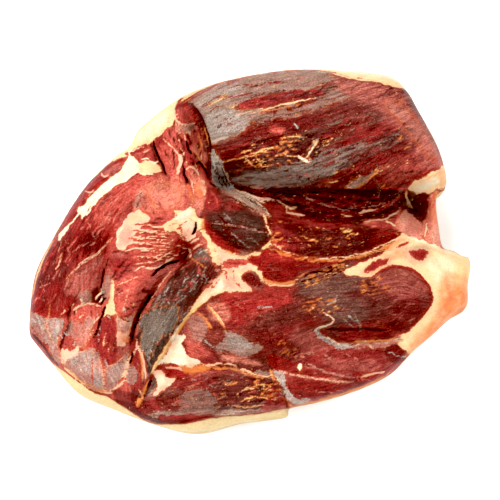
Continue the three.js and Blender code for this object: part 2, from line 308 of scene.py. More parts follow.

# The threads: field, colour, how many, length, width, turn in degrees, seed and strength.
# Black threads are painted shade in small cracks, the ash, silver and film threads are partly painted sheen,
# and the ivory ones on the knuckle are painted highlights.
THREADS = [
    ("outer", "maroon", 60, 10, 0.5, 118, 21, 0.75),
    ("outer", "scarlet", 40, 12, 1.0, 118, 23, 0.7),
    ("outer", "coral", 30, 10, 0.8, 118, 22, 0.7),
    ("outer", "blush", 22, 7, 0.3, 118, 24, 0.7),
    ("wedge", "red", 20, 7, 1.0, 60, 26, 0.75),
    ("wedge", "pink", 12, 6, 0.5, 70, 27, 0.8),
    ("stripes", "maroon", 40, 9, 1.0, 0, 28, 0.85),
    ("stripes", "scarlet", 24, 8, 1.2, 5, 29, 0.8),
    ("lower", "maroon", 34, 9, 1.0, 100, 31, 0.85),
    ("lower", "deep", 10, 7, 0.9, 115, 32, 0.85),
    ("lower", "pink", 26, 7, 0.5, 110, 33, 0.8),
    ("lower", "silver", 30, 7, 0.7, 80, 34, 0.8),
    ("lower", "ivory", 12, 4, 0.4, 85, 30, 0.8),
    ("knuckle", "maroon", 40, 9, 1.3, 70, 35, 0.9),
    ("knuckle", "deep", 14, 8, 1.0, 72, 36, 0.9),
    ("knuckle", "coral", 20, 7, 1.2, 72, 37, 0.85),
    ("knuckle", "pink", 12, 6, 0.4, 66, 38, 0.85),
    ("knuckle", "ivory", 8, 3, 0.2, 50, 15, 0.9),
    ("border", "coral", 12, 5, 0.5, -40, 14, 0.8),
    ("border", "pink", 10, 5, 0.5, -30, 13, 0.9),
    ("shank", "char", 40, 14, 0.7, 116, 39, 0.8),
    ("shank", "deep", 14, 12, 0.7, 118, 19, 0.7),
    ("shank", "ash", 46, 12, 0.5, 114, 40, 0.75),
    ("shank", "coral", 5, 5, 0.4, 130, 41, 0.8),
    ("shank", "silver", 14, 9, 0.2, 112, 12, 0.8),
    ("tongue", "char", 26, 8, 1.3, 12, 42, 0.8),
    ("tongue", "deep", 10, 6, 1.0, 15, 43, 0.8),
    ("tongue", "ash", 12, 6, 0.4, 10, 44, 0.6),
    ("back", "maroon", 70, 18, 1.2, -22, 45, 0.85),
    ("back", "deep", 26, 12, 1.0, -20, 46, 0.8),
    ("back", "red", 40, 16, 1.4, -22, 47, 0.8),
    ("pale", "ash", 46, 24, 0.9, -16, 48, 0.85),
    ("sheen", "ash", 14, 18, 0.5, -20, 90, 0.7),
    ("sheen", "deep", 24, 22, 0.6, -20, 18, 0.8),
    ("back", "ash", 14, 16, 0.4, -22, 17, 0.6),
    ("back", "orange", 12, 5, 0.3, -18, 49, 0.8),
    ("back", "yellow", 8, 4, 0.3, -16, 50, 0.9),
    ("crusty", "deep", 26, 7, 1.3, -14, 51, 0.95),
    ("crusty", "orange", 26, 3, 0.1, -14, 52, 0.9),
    ("crusty", "cream", 16, 2.5, 0.1, -10, 53, 0.9),
    ("strip", "maroon", 36, 12, 1.0, 4, 54, 0.85),
    ("strip", "orange", 10, 3.5, 0.3, 10, 55, 0.85),
    ("strip", "yellow", 8, 3, 0.3, 10, 56, 0.85),
    ("crumbs", "black", 22, 4, 0.4, -10, 57, 1.0),
    ("crumbs", "amber", 26, 3, 0.4, -10, 58, 0.95),
    ("crumbs", "yellow", 14, 2, 0.2, -20, 57, 0.95),
    ("broad", "maroon", 50, 16, 0.6, -14, 59, 0.5),
    ("broad", "coral", 20, 8, 0.4, -24, 61, 0.5),
    ("broad", "rose", 24, 9, 0.3, -30, 62, 0.5),
    ("broad", "film", 12, 7, 0.3, 40, 63, 0.6),
    ("right", "rose", 24, 10, 0.2, -48, 64, 0.5),
    ("right", "maroon", 24, 10, 0.2, -48, 65, 0.6),
    ("flecks_right", "amber", 30, 2.4, 0.05, -30, 66, 0.8),
    ("flecks_right", "yellow", 8, 2, 0.05, -30, 16, 0.8),
    ("flecks_middle", "amber", 26, 2.4, 0.1, -20, 11, 0.9),
    ("flecks_middle", "yellow", 12, 2.2, 0.1, -20, 10, 0.9),
    ("flecks_low", "amber", 14, 2.4, 0.1, -30, 9, 0.8),
    ("thin", "maroon", 24, 14, 0.5, 8, 67, 0.6),
    ("thin", "blush", 24, 9, 0.5, 12, 68, 0.7),
    ("heel", "deep", 40, 10, 0.8, -8, 69, 0.75),
    ("heel", "coral", 16, 7, 0.6, -12, 70, 0.7),
    ("heel", "ash", 26, 8, 0.5, -10, 71, 0.8),
    ("streaky", "orange", 12, 6, 0.2, -8, 72, 0.8),
    ("streaky", "cream", 6, 4, 0.1, -8, 73, 0.8),
    ("pocket", "red", 30, 12, 0.9, 6, 74, 0.8),
    ("pocket", "film", 10, 8, 0.5, 8, 75, 0.7),
]


def linear(name):
    """A palette colour as linear light."""
    channels = np.array(PALETTE[name]) / 255
    return BRIGHTNESS * np.where(channels < 0.04045, channels / 12.92, ((channels + 0.055) / 1.055) ** 2.4)


def mix(a, b, t):
    return a + (b - a) * t


def smooth(x):
    """0 up to 0, 1 from 1 on, and a soft step between."""
    x = np.clip(x, 0, 1)
    return x * x * (3 - 2 * x)


def round_over(x):
    """A quarter round from 0 at 0, where it is upright, to 1 at 1."""
    return np.sqrt(1 - (1 - np.clip(x, 0, 1)) ** 2)


def swell_over(x):
    """A softer swell from 0 at 0 to 1 at 1."""
    return np.sin(np.pi / 2 * np.clip(x, 0, 1))


def lattice(i, j, seed):
    """A repeatable number from 0 to 1 for each lattice corner."""
    n = (i * 374761393 + j * 668265263 + seed * 362437) & 0xFFFFFFFF
    n = ((n ^ (n >> 13)) * 1274126177) & 0xFFFFFFFF
    return ((n ^ (n >> 16)) & 0xFFFFFF) / 0xFFFFFF


def noise(x, y, seed):
    """Smooth noise from -1 to 1 with lumps about 1 wide."""
    i, j = np.floor(x).astype(np.int64), np.floor(y).astype(np.int64)
    s, t = smooth(x - i), smooth(y - j)
    low = mix(lattice(i, j, seed), lattice(i + 1, j, seed), s)
    high = mix(lattice(i, j + 1, seed), lattice(i + 1, j + 1, seed), s)
    return 2 * mix(low, high, t) - 1


def layered(x, y, seed, layers=3):
    """Noise with finer noise on it, from about -1 to 1."""
    total = sum(noise(x * 2**k, y * 2**k, seed + k) * 0.55**k for k in range(layers))
    return total / 1.3


def curve_through(points, closed):
    """A smooth curve through the points, SPAN_STEPS to a span."""
    points = np.array(points, float)
    if closed:
        around = [np.roll(points, shift, axis=0) for shift in (1, 0, -1, -2)]
    else:
        padded = np.vstack([2 * points[0] - points[1], points, 2 * points[-1] - points[-2]])
        around = [padded[k:len(padded) - 3 + k] for k in range(4)]
    a, b, c, d = (side[:, None, :] for side in around)
    t = (np.arange(SPAN_STEPS) / SPAN_STEPS)[None, :, None]
    curve = b + 0.5 * t * (c - a + t * (2 * a - 5 * b + 4 * c - d + t * (3 * (b - c) + d - a)))
    curve = curve.reshape(-1, 2)
    return np.vstack([curve, curve[:1] if closed else points[-1:]])


def nearest_on(curve, u, v):
    """Distance to the nearest point of a curve, and how far along the curve that is, from 0 to 1."""
    best = np.full(u.shape, np.inf)
    along = np.zeros(u.shape)
    steps = np.hypot(*np.diff(curve, axis=0).T)
    ends = np.concatenate([[0], np.cumsum(steps)])
    for (au, av), (bu, bv), start, step in zip(curve[:-1], curve[1:], ends, steps):
        if step == 0:
            continue
        t = np.clip(((u - au) * (bu - au) + (v - av) * (bv - av)) / step**2, 0, 1)
        distance = np.hypot(u - au - t * (bu - au), v - av - t * (bv - av))
        nearer = distance < best
        best = np.where(nearer, distance, best)
        along = np.where(nearer, start + t * step, along)
    return best, along / ends[-1]


def depth_inside(curve, u, v):
    """How far points lie inside a closed curve, below zero outside it, in squares."""
    inside = np.zeros(u.shape, bool)
    for (au, av), (bu, bv) in zip(curve[:-1], curve[1:]):
        if av != bv:
            inside ^= ((av > v) != (bv > v)) & (u < au + (v - av) / (bv - av) * (bu - au))
    distance, _ = nearest_on(curve, u, v)
    return np.where(inside, distance, -distance)


def near(points, u, v, margin):
    """Which points lie in the box of a list of points, widened by a margin."""
    low, high = np.min(points, axis=0) - margin, np.max(points, axis=0) + margin
    return (u > low[0]) & (u < high[0]) & (v > low[1]) & (v < high[1])


def outline_reach(angles, curve):
    """How far the outline is from MIDDLE in each direction."""
    du, dv = np.cos(angles), -np.sin(angles)
    reach = np.zeros(angles.shape)
    for (au, av), (bu, bv) in zip(curve[:-1], curve[1:]):
        eu, ev = bu - au, bv - av
        fu, fv = au - MIDDLE[0], av - MIDDLE[1]
        turn = du * ev - dv * eu
        turn = np.where(np.abs(turn) < 1e-12, 1e-12, turn)
        share = (fu * dv - fv * du) / turn
        distance = (fu * ev - fv * eu) / turn
        reach = np.where((share >= 0) & (share <= 1), np.maximum(reach, distance), reach)
    return reach


def rim_height(angles):
    return RIM_HEIGHT + RIM_SWING * np.cos(angles - RIM_HIGH_AT)


def place(u, v, height):
    """Where a point of the drawing lies when it stands at this height, in millimetres."""
    up = (SQUARES / 2 - v) * SQUARE
    y = (up - (height - FACE_LEVEL) * math.sin(FACE_TILT)) / math.cos(FACE_TILT)
    return np.stack([(u - SQUARES / 2) * SQUARE, y, height], axis=-1)


class Face:
    """The ham's face as a grid of points on the drawing, with its heights and its paint."""

    def __init__(self):
        steps = np.linspace(-1, 1, FACE_CELLS + 1)
        a, b = np.meshgrid(steps, steps, indexing="ij")
        wide = np.abs(a) >= np.abs(b)
        with np.errstate(divide="ignore", invalid="ignore"):
            turned = np.where(wide, math.pi / 4 * b / a, math.pi / 2 - math.pi / 4 * a / b)
        turned = np.nan_to_num(turned)
        self.angle = turned + np.where(np.where(wide, a, b) < 0, math.pi, 0)
        ring = np.maximum(np.abs(a), np.abs(b))
        curve = curve_through(OUTLINE, True)
        reach = outline_reach(self.angle, curve) * (1 - (1 - ring) ** RIM_CROWDING)
        self.u = MIDDLE[0] + reach * np.cos(self.angle)
        self.v = MIDDLE[1] - reach * np.sin(self.angle)
        self.edge = np.where(ring == 1, 0, depth_inside(curve, self.u, self.v)) * SQUARE
        self.over_edge = round_over(self.edge / EDGE_ROUND)
        self.fine = np.zeros(self.u.shape)
        shape = self.u.shape
        self.colour = np.zeros(shape + (3,))
        self.rough = np.full(shape, FACE_ROUGH)
        self.fibre, self.fleck = np.zeros(shape), np.zeros(shape)
        self.grain = np.zeros(shape + (3,))
        self.cover = np.tile(linear("cream"), shape + (1,))
        self.over, self.dark, self.tear, self.solid = (np.zeros(shape) for _ in range(4))

    def form(self):
        """The heights of the form, softened."""
        wave_u, wave_v = (x * 2 * math.pi / WAVE_LENGTH for x in (self.u, self.v))
        wave = WAVE_HEIGHT * np.sin(wave_u + WAVE_SWAY_U * np.sin(wave_v / 2))
        wave = wave * np.sin(wave_v + WAVE_SWAY_V * np.sin(wave_u / 3))
        relief = CROWN * swell_over(self.edge / CROWN_REACH) + wave
        for outline, rise, shoulder in SWELLS.values():
            at = near(outline, self.u, self.v, 2)
            depth = depth_inside(curve_through(outline, True), self.u[at], self.v[at]) * SQUARE
            relief[at] += rise * swell_over(depth / shoulder)
        for line, depth, half in CLEFTS.values():
            at = near(line, self.u, self.v, 3 * half / SQUARE)
            distance, _ = nearest_on(np.array(line, float), self.u[at], self.v[at])
            relief[at] -= depth * np.exp(-((distance * SQUARE / half) ** 2))
        heights = mix(rim_height(self.angle), RIM_HEIGHT + EDGE_RISE + relief, self.over_edge)
        for _ in range(SOFTENING):
            inner = heights[1:-1, 1:-1]
            around = heights[2:, 1:-1] + heights[:-2, 1:-1] + heights[1:-1, 2:] + heights[1:-1, :-2]
            heights[1:-1, 1:-1] = mix(inner, around / 4, 0.5)
        return heights

    def ground(self):
        """Gives each point the colour, fibres and surface of the muscle that it belongs to."""
        wander_u, wander_v = (3 * layered(self.u / 11, self.v / 11, seed) for seed in WANDER_SEEDS)
        u, v = self.u + wander_u, self.v + wander_v
        deepest = np.full(self.u.shape, -1e6)
        runner_up = deepest.copy()
        for number, (name, ground) in enumerate(GROUNDS.items()):
            colours, fibre, rough, fleck, guide_a, guide_b = ground
            depth = depth_inside(curve_through(SWELLS[name][0], True), u, v)
            at = depth > deepest
            runner_up = np.where(at, deepest, np.maximum(runner_up, depth))
            deepest = np.where(at, depth, deepest)
            line_a, line_b = curve_through(guide_a, False), curve_through(guide_b, False)
            away_a, _ = nearest_on(line_a, self.u[at], self.v[at])
            away_b, _ = nearest_on(line_b, self.u[at], self.v[at])
            apart = np.hypot(*(line_a.mean(0) - line_b.mean(0)))
            across = away_a / (away_a + away_b + 1e-6) * apart
            run = (line_a[-1] - line_a[0]) + (line_b[-1] - line_b[0])
            run = run / np.hypot(*run)
            along = self.u[at] * run[0] + self.v[at] * run[1]
            own_layer = np.full(along.shape, GRAIN_STEP * number)
            self.grain[at] = np.stack([along * SQUARE, across * SQUARE, own_layer], -1)
            first, second, third = (linear(colour) for colour in colours)
            streak = smooth(0.5 + 0.9 * layered(along / 38, across / 5.5, STREAK_SEED + number))[:, None]
            patchy = smooth(0.4 + 0.9 * layered(along / 60 + 9, across / 13, PATCHY_SEED + number))[:, None]
            self.colour[at] = mix(mix(first, second, streak), third, 0.7 * patchy)
            self.fibre[at], self.rough[at], self.fleck[at] = fibre, rough, fleck
        self.fibre *= smooth((deepest - runner_up) / 3 - 0.5)
        along, across = self.grain[..., 0], self.grain[..., 1]
        self.fine += FIBRE_RELIEF * layered(along / 16, across / 2.6, FIBRE_SEED) * self.fibre
        self.fine += LUMP_RELIEF * layered(self.u / 14, self.v / 14, LUMP_SEED)

    def lay(self, at, depth, soft, strength, colour, rough, fibre, fleck, relief, under=False, least=3.0):
        """Lays paint on the chosen points, which lie this deep inside a stroke or, below zero, outside it.

        Lean colours blend. A cover, or the painted shade of cracks, is held as a field that passes 0.5 at its
        edge, so that the material can cut the edge finer than the points are apart. Paint laid under leaves
        fat as it is.
        """
        if under:
            fat = (self.over[at] > THINNEST_COVER) & (self.tear[at] < TORN)
            depth = np.where(fat, FAR_OUTSIDE, depth)
        mask = smooth(EDGE + depth / soft) * strength
        field = np.clip(EDGE + depth / (2 * max(soft, least)), 0, 1)
        if colour in SHADED_CRACKS:
            self.dark[at] = np.maximum(self.dark[at], field)
        elif colour in COVERS:
            self.lay_cover(at, depth, mask, field, strength, colour)
        elif colour:
            self.colour[at] = mix(self.colour[at], linear(colour), mask[:, None])
            if not under:
                self.cut_or_tint(at, mask, field, strength, colour)
        for value_of, value in ((self.rough, rough), (self.fibre, fibre), (self.fleck, fleck)):
            if value is not None:
                value_of[at] = mix(value_of[at], value, mask)
        self.fine[at] += relief * smooth(EDGE + depth / max(soft, 2)) * strength

    def lay_cover(self, at, depth, mask, field, strength, colour):
        """Covers the chosen points: tints the cover that is there, and adds cover where there is none."""
        covered = self.over[at] > EDGE
        weight = np.where(covered, mask, smooth(EDGE + (depth + SPILL) / 3))
        self.cover[at] = mix(self.cover[at], linear(colour), weight[:, None])
        fresh = np.where(covered, 0, weight)
        self.solid[at] = mix(self.solid[at], strength, fresh)
        self.tear[at] = mix(self.tear[at], COVERS[colour], fresh)
        self.over[at] = np.maximum(self.over[at], field)
        self.dark[at] = np.minimum(self.dark[at], 1 - field)

    def cut_or_tint(self, at, mask, field, strength, colour):
        """Lets strong lean paint cut through covers and the painted shade of cracks, and weak paint tint
        them.
        """
        if strength > CUTS:
            self.over[at] = np.minimum(self.over[at], 1 - field)
            self.dark[at] = np.minimum(self.dark[at], 1 - field)
        else:
            self.cover[at] = mix(self.cover[at], linear(colour), TINT * mask[:, None])

    def shaken(self, at, ragged, size, seed):
        """The chosen points' places on the drawing, moved about so that painted edges get ragged."""
        u, v = self.u[at], self.v[at]
        shake_u, shake_v = (ragged * layered(u / size, v / size, each) for each in (seed, seed + 3))
        return u + shake_u, v + shake_v

    def patch(self, colour, outline, soft=2.0, strength=1.0, ragged=1.5, rough=None, fibre=None, fleck=None,
              relief=0.0, streaky=0.0):
        """Paints the inside of an outline, with a ragged edge, and streaked along the fibres if asked."""
        at = near(outline, self.u, self.v, soft + ragged + MARGIN)
        seed = len(outline) * 7 + int(outline[0][0])
        u, v = self.shaken(at, ragged, PATCH_RAGS, seed)
        depth = depth_inside(curve_through(outline, True), u, v)
        if streaky:
            along, across = self.grain[at, 0] / STREAK_LENGTH, self.grain[at, 1] / STREAK_WIDTH
            depth = depth + STREAK_DEPTH * max(soft, 3) * streaky * layered(along, across, seed + 5)
        self.lay(at, depth, soft, strength, colour, rough, fibre, fleck, relief)

    def line(self, colour, path, width=2.0, soft=1.0, strength=1.0, ragged=0.8, relief=0.0, taper=True,
             under=False):
        """Paints a line of a width, thinner at its ends."""
        at = near(path, self.u, self.v, width + soft + ragged + MARGIN)
        seed = len(path) * 5 + int(path[0][0]) + int(path[-1][1])
        u, v = self.shaken(at, ragged, LINE_RAGS, seed)
        distance, along = nearest_on(curve_through(path, False), u, v)
        half = (width / 2 + 0.3) * (round_over(np.minimum(along, 1 - along) * 4) if taper else 1)
        self.lay(at, half - distance, soft, strength, colour, None, None, None, relief, under, least=1.7)

    def scatter(self, colour, outline, count, length, width, turn, seed, strength):
        """Strews short lines over the inside of an outline, mostly turned by an angle in degrees."""
        random = np.random.default_rng(seed)
        curve = curve_through(outline, True)
        low, high = curve.min(0), curve.max(0)
        middles = low + (high - low) * random.random((count * 4, 2))
        middles = middles[depth_inside(curve, middles[:, 0], middles[:, 1]) > 0][:count]
        for middle in middles:
            angle = math.radians(turn + random.normal(0, THREAD_TURN))
            half = length * random.uniform(*THREAD_LENGTHS) * np.array([math.cos(angle), math.sin(angle)])
            bend = random.normal(0, THREAD_BEND) * np.array([-half[1], half[0]])
            path = [tuple(middle - half), tuple(middle + bend), tuple(middle + half)]
            thread_width = width * random.uniform(*THREAD_WIDTHS)
            self.line(colour, path, thread_width, strength=strength, ragged=THREAD_RAGGED, under=True)

    def step(self, path, drop, reach=8.0):
        """Lowers the right-hand side of a path, sharply at the path and fading away from it."""
        at = near(path, self.u, self.v, reach * 2)
        curve = curve_through(path, False)
        distance, along = nearest_on(curve, self.u[at], self.v[at])
        place_on = np.clip((along * (len(curve) - 1)).astype(int), 0, len(curve) - 2)
        run = curve[place_on + 1] - curve[place_on]
        side = run[:, 0] * (self.v[at] - curve[place_on, 1]) - run[:, 1] * (self.u[at] - curve[place_on, 0])
        fade = np.exp(-((distance / reach) ** 2)) * smooth(np.minimum(along, 1 - along) * 5)
        self.fine[at] -= drop * fade * smooth(0.5 + np.sign(side) * distance / 2.5)


def fat_surface(fibre):
    """Settings for the surface of fat, with this much of the fibres under it showing."""
    return {"fibre": fibre, "fleck": 0, "rough": FAT_ROUGH}


def paint_topside(face):
    """The thick muscle along the back: dark, dried, with bands of pale films and painted sheen, and yellow
    flecks.
    """
    # Painted sheen: the grey film, the sheen and the silver over the upper left are partly dry films and
    # partly painted highlight where the topside turns to the light.
    face.patch("film", [(182, 104), (210, 88), (246, 76), (300, 67), (334, 74), (306, 88), (262, 95),
                        (240, 102), (234, 110), (262, 110), (250, 122), (236, 134), (222, 139), (208, 143),
                        (202, 130), (194, 114)], soft=5, strength=0.9, streaky=0.5, rough=0.5)
    face.patch("sheen", [(205, 119), (216, 110), (234, 112), (250, 116), (246, 128), (226, 137), (209, 141)],
               soft=4, strength=0.85, ragged=2.5, fibre=0.3, rough=0.5)
    face.patch("silver", [(196, 104), (214, 92), (236, 84), (250, 82), (236, 92), (212, 102)], soft=7,
               strength=0.5, streaky=0.4, fibre=0.5)
    for path in ([(226, 121), (236, 116), (250, 117)], [(214, 130), (226, 124), (238, 125)],
                 [(210, 122), (220, 116), (230, 114)]):
        face.line("brown", path, 0.3, strength=0.7, ragged=2)
    face.step([(206, 142), (225, 139), (240, 132), (258, 122), (276, 116)], 1.6)
    for path in ([(200, 106), (212, 99), (226, 93)], [(206, 106), (220, 99), (234, 95)],
                 [(228, 88), (240, 85), (252, 84)], [(208, 112), (216, 107), (226, 105)],
                 [(230, 99), (242, 95), (254, 92)], [(250, 87), (266, 83), (284, 81)]):
        face.line("red", path, 0.9, strength=0.8, ragged=1.5)
    face.patch("red", [(236, 106), (248, 100), (266, 96), (290, 91), (316, 89), (318, 94), (300, 99),
                       (275, 104), (248, 109)], soft=2.5, strength=0.95)
    face.patch("wine", [(262, 99), (290, 93), (314, 91), (300, 98), (275, 102)], soft=4, strength=0.7)
    face.line("cream", [(240, 113), (262, 111), (284, 105), (316, 98)], 0.9, strength=0.9)
    face.line("pink", [(232, 114), (250, 114), (262, 113)], 0.5, strength=0.8)
    face.line("orange", [(262, 113), (280, 109), (300, 105)], 0.4, strength=0.6)
    face.patch("film", [(240, 126), (262, 114), (300, 107), (322, 99), (340, 88), (352, 92), (330, 104),
                        (300, 114), (264, 122)], soft=4, strength=0.7, streaky=0.9)
    face.patch("wine", [(262, 122), (300, 115), (340, 104), (384, 96), (392, 106), (350, 118), (300, 130),
                        (266, 134)], soft=7, strength=0.75, streaky=0.5)
    face.patch("wine", [(208, 145), (226, 142), (246, 133), (272, 122), (300, 130), (272, 146), (236, 158),
                        (222, 164), (212, 158)], soft=4, strength=0.85)
    face.patch("maroon", [(222, 163), (240, 159), (290, 154), (330, 148), (330, 152), (290, 162), (250, 168),
                          (226, 176)], soft=4, strength=0.75, streaky=0.5)
    face.patch("char", [(226, 172), (238, 166), (262, 168), (262, 184), (240, 184), (230, 180)], soft=4,
               strength=0.7)
    # Painted sheen: the slate bands and the ash lines below them are partly grey-brown lean and partly
    # painted sheen.
    face.patch("slate", [(234, 178), (262, 170), (300, 166), (330, 157), (365, 144), (400, 130), (402, 138),
                         (372, 156), (345, 168), (320, 180), (290, 185), (256, 186), (236, 184)], soft=4,
               strength=0.9, rough=0.5, streaky=0.4)
    face.patch("slate", [(262, 158), (290, 158), (320, 148), (350, 136), (372, 126), (360, 134), (330, 148),
                         (300, 162), (270, 166)], soft=4, strength=0.5, streaky=0.7)
    face.patch("wine", [(346, 116), (380, 104), (398, 122), (406, 142), (380, 160), (352, 168), (340, 140)],
               soft=9, strength=0.5, streaky=0.4)
    for path in ([(320, 166), (345, 156), (370, 146), (396, 138)], [(330, 156), (352, 146), (376, 136)],
                 [(344, 134), (362, 126), (384, 120)]):
        face.line("ash", path, 0.7, strength=0.6)
    for path in ([(296, 176), (326, 170), (352, 160)], [(250, 182), (276, 183), (306, 181)],
                 [(262, 173), (286, 170), (312, 164)], [(258, 178), (284, 176), (316, 170)]):
        face.line("ash", path, 1.3, strength=0.8)
    face.patch("wine", [(318, 184), (350, 172), (380, 158), (402, 150), (404, 158), (374, 174), (350, 186)],
               soft=5, strength=0.85, streaky=0.3)
    face.patch("coral", [(380, 168), (404, 156), (430, 152), (440, 162), (414, 174), (388, 182)], soft=9,
               strength=0.4)
    face.patch("red", [(320, 150), (350, 138), (380, 122), (400, 120), (396, 132), (360, 144), (330, 154)],
               soft=8, strength=0.6, streaky=0.6)
    face.patch("rose", [(338, 78), (372, 80), (396, 88), (418, 116), (438, 148), (443, 168), (426, 168),
                        (410, 146), (390, 122), (366, 104), (340, 92)], soft=14, strength=0.8, streaky=0.2)
    # Painted highlight: a pale pink haze over the right end of the topside.
    face.patch("blush", [(386, 103), (398, 106), (414, 118), (428, 138), (436, 156), (424, 150), (410, 132),
                         (396, 116)], soft=10, strength=0.45)
    face.patch("coral", [(420, 136), (434, 146), (441, 164), (430, 160)], soft=8, strength=0.55)
    face.patch("blood", [(404, 180), (420, 174), (444, 164), (444, 168), (428, 176), (412, 186)], soft=5,
               strength=0.85)
    face.line("scarlet", [(338, 187.5), (364, 189.5), (390, 188.5), (410, 188)], 2.2, strength=0.8)
    face.line("maroon", [(300, 186), (340, 189), (380, 187)], 1.6, strength=0.7)
    face.patch("ash", [(346, 188), (352, 182), (362, 178), (372, 172), (376, 173), (366, 181), (358, 187)],
               soft=2, strength=0.85)
    face.line("pink", [(347, 188), (352, 184), (358, 181)], 1.4, strength=0.9)
    face.line("orange", [(356, 187), (366, 180), (378, 171)], 1.4, strength=0.8)
    face.patch("deep", [(224, 160), (256, 142), (330, 130), (344, 146), (304, 166), (238, 174)], soft=8,
               strength=0.45)
    for outline in ([(206, 106), (222, 94), (232, 92), (228, 104)],
                    [(240, 86), (252, 80), (256, 84), (246, 90)],
                    [(278, 140), (302, 136), (302, 146), (278, 148)],
                    [(352, 106), (364, 100), (366, 104), (356, 110)],
                    [(344, 182), (374, 168), (384, 170), (354, 188)],
                    [(254, 158), (262, 158), (276, 166), (262, 170)],
                    [(310, 140), (320, 138), (340, 140), (316, 152)]):
        face.patch(None, outline, soft=4, fleck=0.8)
    for path, width in (([(209, 106), (217, 101), (228, 94)], 0.8), ([(215, 103), (224, 98)], 0.5),
                        ([(228, 108), (236, 106)], 1.2), ([(222, 162), (238, 159), (260, 155)], 0.9),
                        ([(245, 159), (250, 163), (256, 168)], 0.5),
                        ([(256, 158), (260, 163), (261, 167), (272, 166)], 0.7),
                        ([(241, 154), (252, 151)], 0.9), ([(258, 152), (266, 150), (276, 148)], 1.1),
                        ([(250, 155), (262, 153), (270, 153)], 0.6),
                        ([(282, 140), (290, 138), (302, 138)], 0.9),
                        ([(279, 144), (286, 143), (296, 143)], 0.5),
                        ([(276, 155), (288, 157), (300, 157)], 0.9),
                        ([(303, 160), (308, 156), (312, 149), (318, 141)], 1.1),
                        ([(323, 144), (335, 139)], 0.6), ([(330, 183), (338, 181)], 0.5),
                        ([(246, 78), (254, 76)], 0.5)):
        face.line("yellow", path, 0.5 * width, strength=0.95, relief=0.3)
    face.line("film", [(306, 152), (312, 146), (318, 140)], 1.0, strength=0.8)
    face.line("ivory", [(297, 157), (303, 161), (309, 164)], 1.9, relief=0.4)
    face.line("ivory", [(307, 155), (311, 151), (315, 146)], 0.8, relief=0.3)
    face.line("silver", [(294, 124), (296, 127), (297, 130)], 1.0)
    for spot in ([(270, 130), (278, 128), (286, 131), (280, 135), (272, 134)],
                 [(302, 174), (308, 173), (315, 176), (308, 179)],
                 [(316, 92), (322, 91), (324, 94), (318, 95)]):
        face.patch("coral", spot, soft=2.4, strength=0.9)
    face.line("orange", [(178, 100), (196, 88), (216, 80), (240, 74), (268, 68), (300, 66)], 2.2, soft=2,
              strength=0.9)
    face.line("cream", [(180, 98), (200, 86), (224, 77), (250, 71)], 1.6, strength=0.9)
    face.patch("cream", [(304, 62), (345, 62), (396, 68), (411, 88), (398, 85.5), (375, 79.5), (350, 76),
                         (334, 70), (316, 68)], soft=1.8, fibre=0.1, fleck=0, relief=0.8)
    face.patch("ivory", [(330, 66), (360, 66), (392, 71), (400, 80), (376, 76), (350, 72)], soft=5,
               strength=0.6)
    face.line("cream", [(330, 71), (352, 77), (376, 80), (402, 87)], 1.3, strength=0.9)
    face.patch("cream", [(408, 188), (416, 181), (430, 174), (446, 165), (450, 176), (447, 186), (438, 190),
                         (428, 195), (417, 193)], soft=2, ragged=2, fibre=0.1, fleck=0, relief=1.5)
    face.line("orange", [(420, 182), (434, 175), (446, 167)], 1.4, soft=3, strength=0.6, ragged=2)
    face.patch("orange", [(440, 172), (448, 170), (448, 184), (441, 188)], soft=4, strength=0.5)
    face.patch("ivory", [(414, 188), (424, 182), (436, 177), (440, 182), (434, 187), (424, 192)], soft=4,
               strength=0.8)


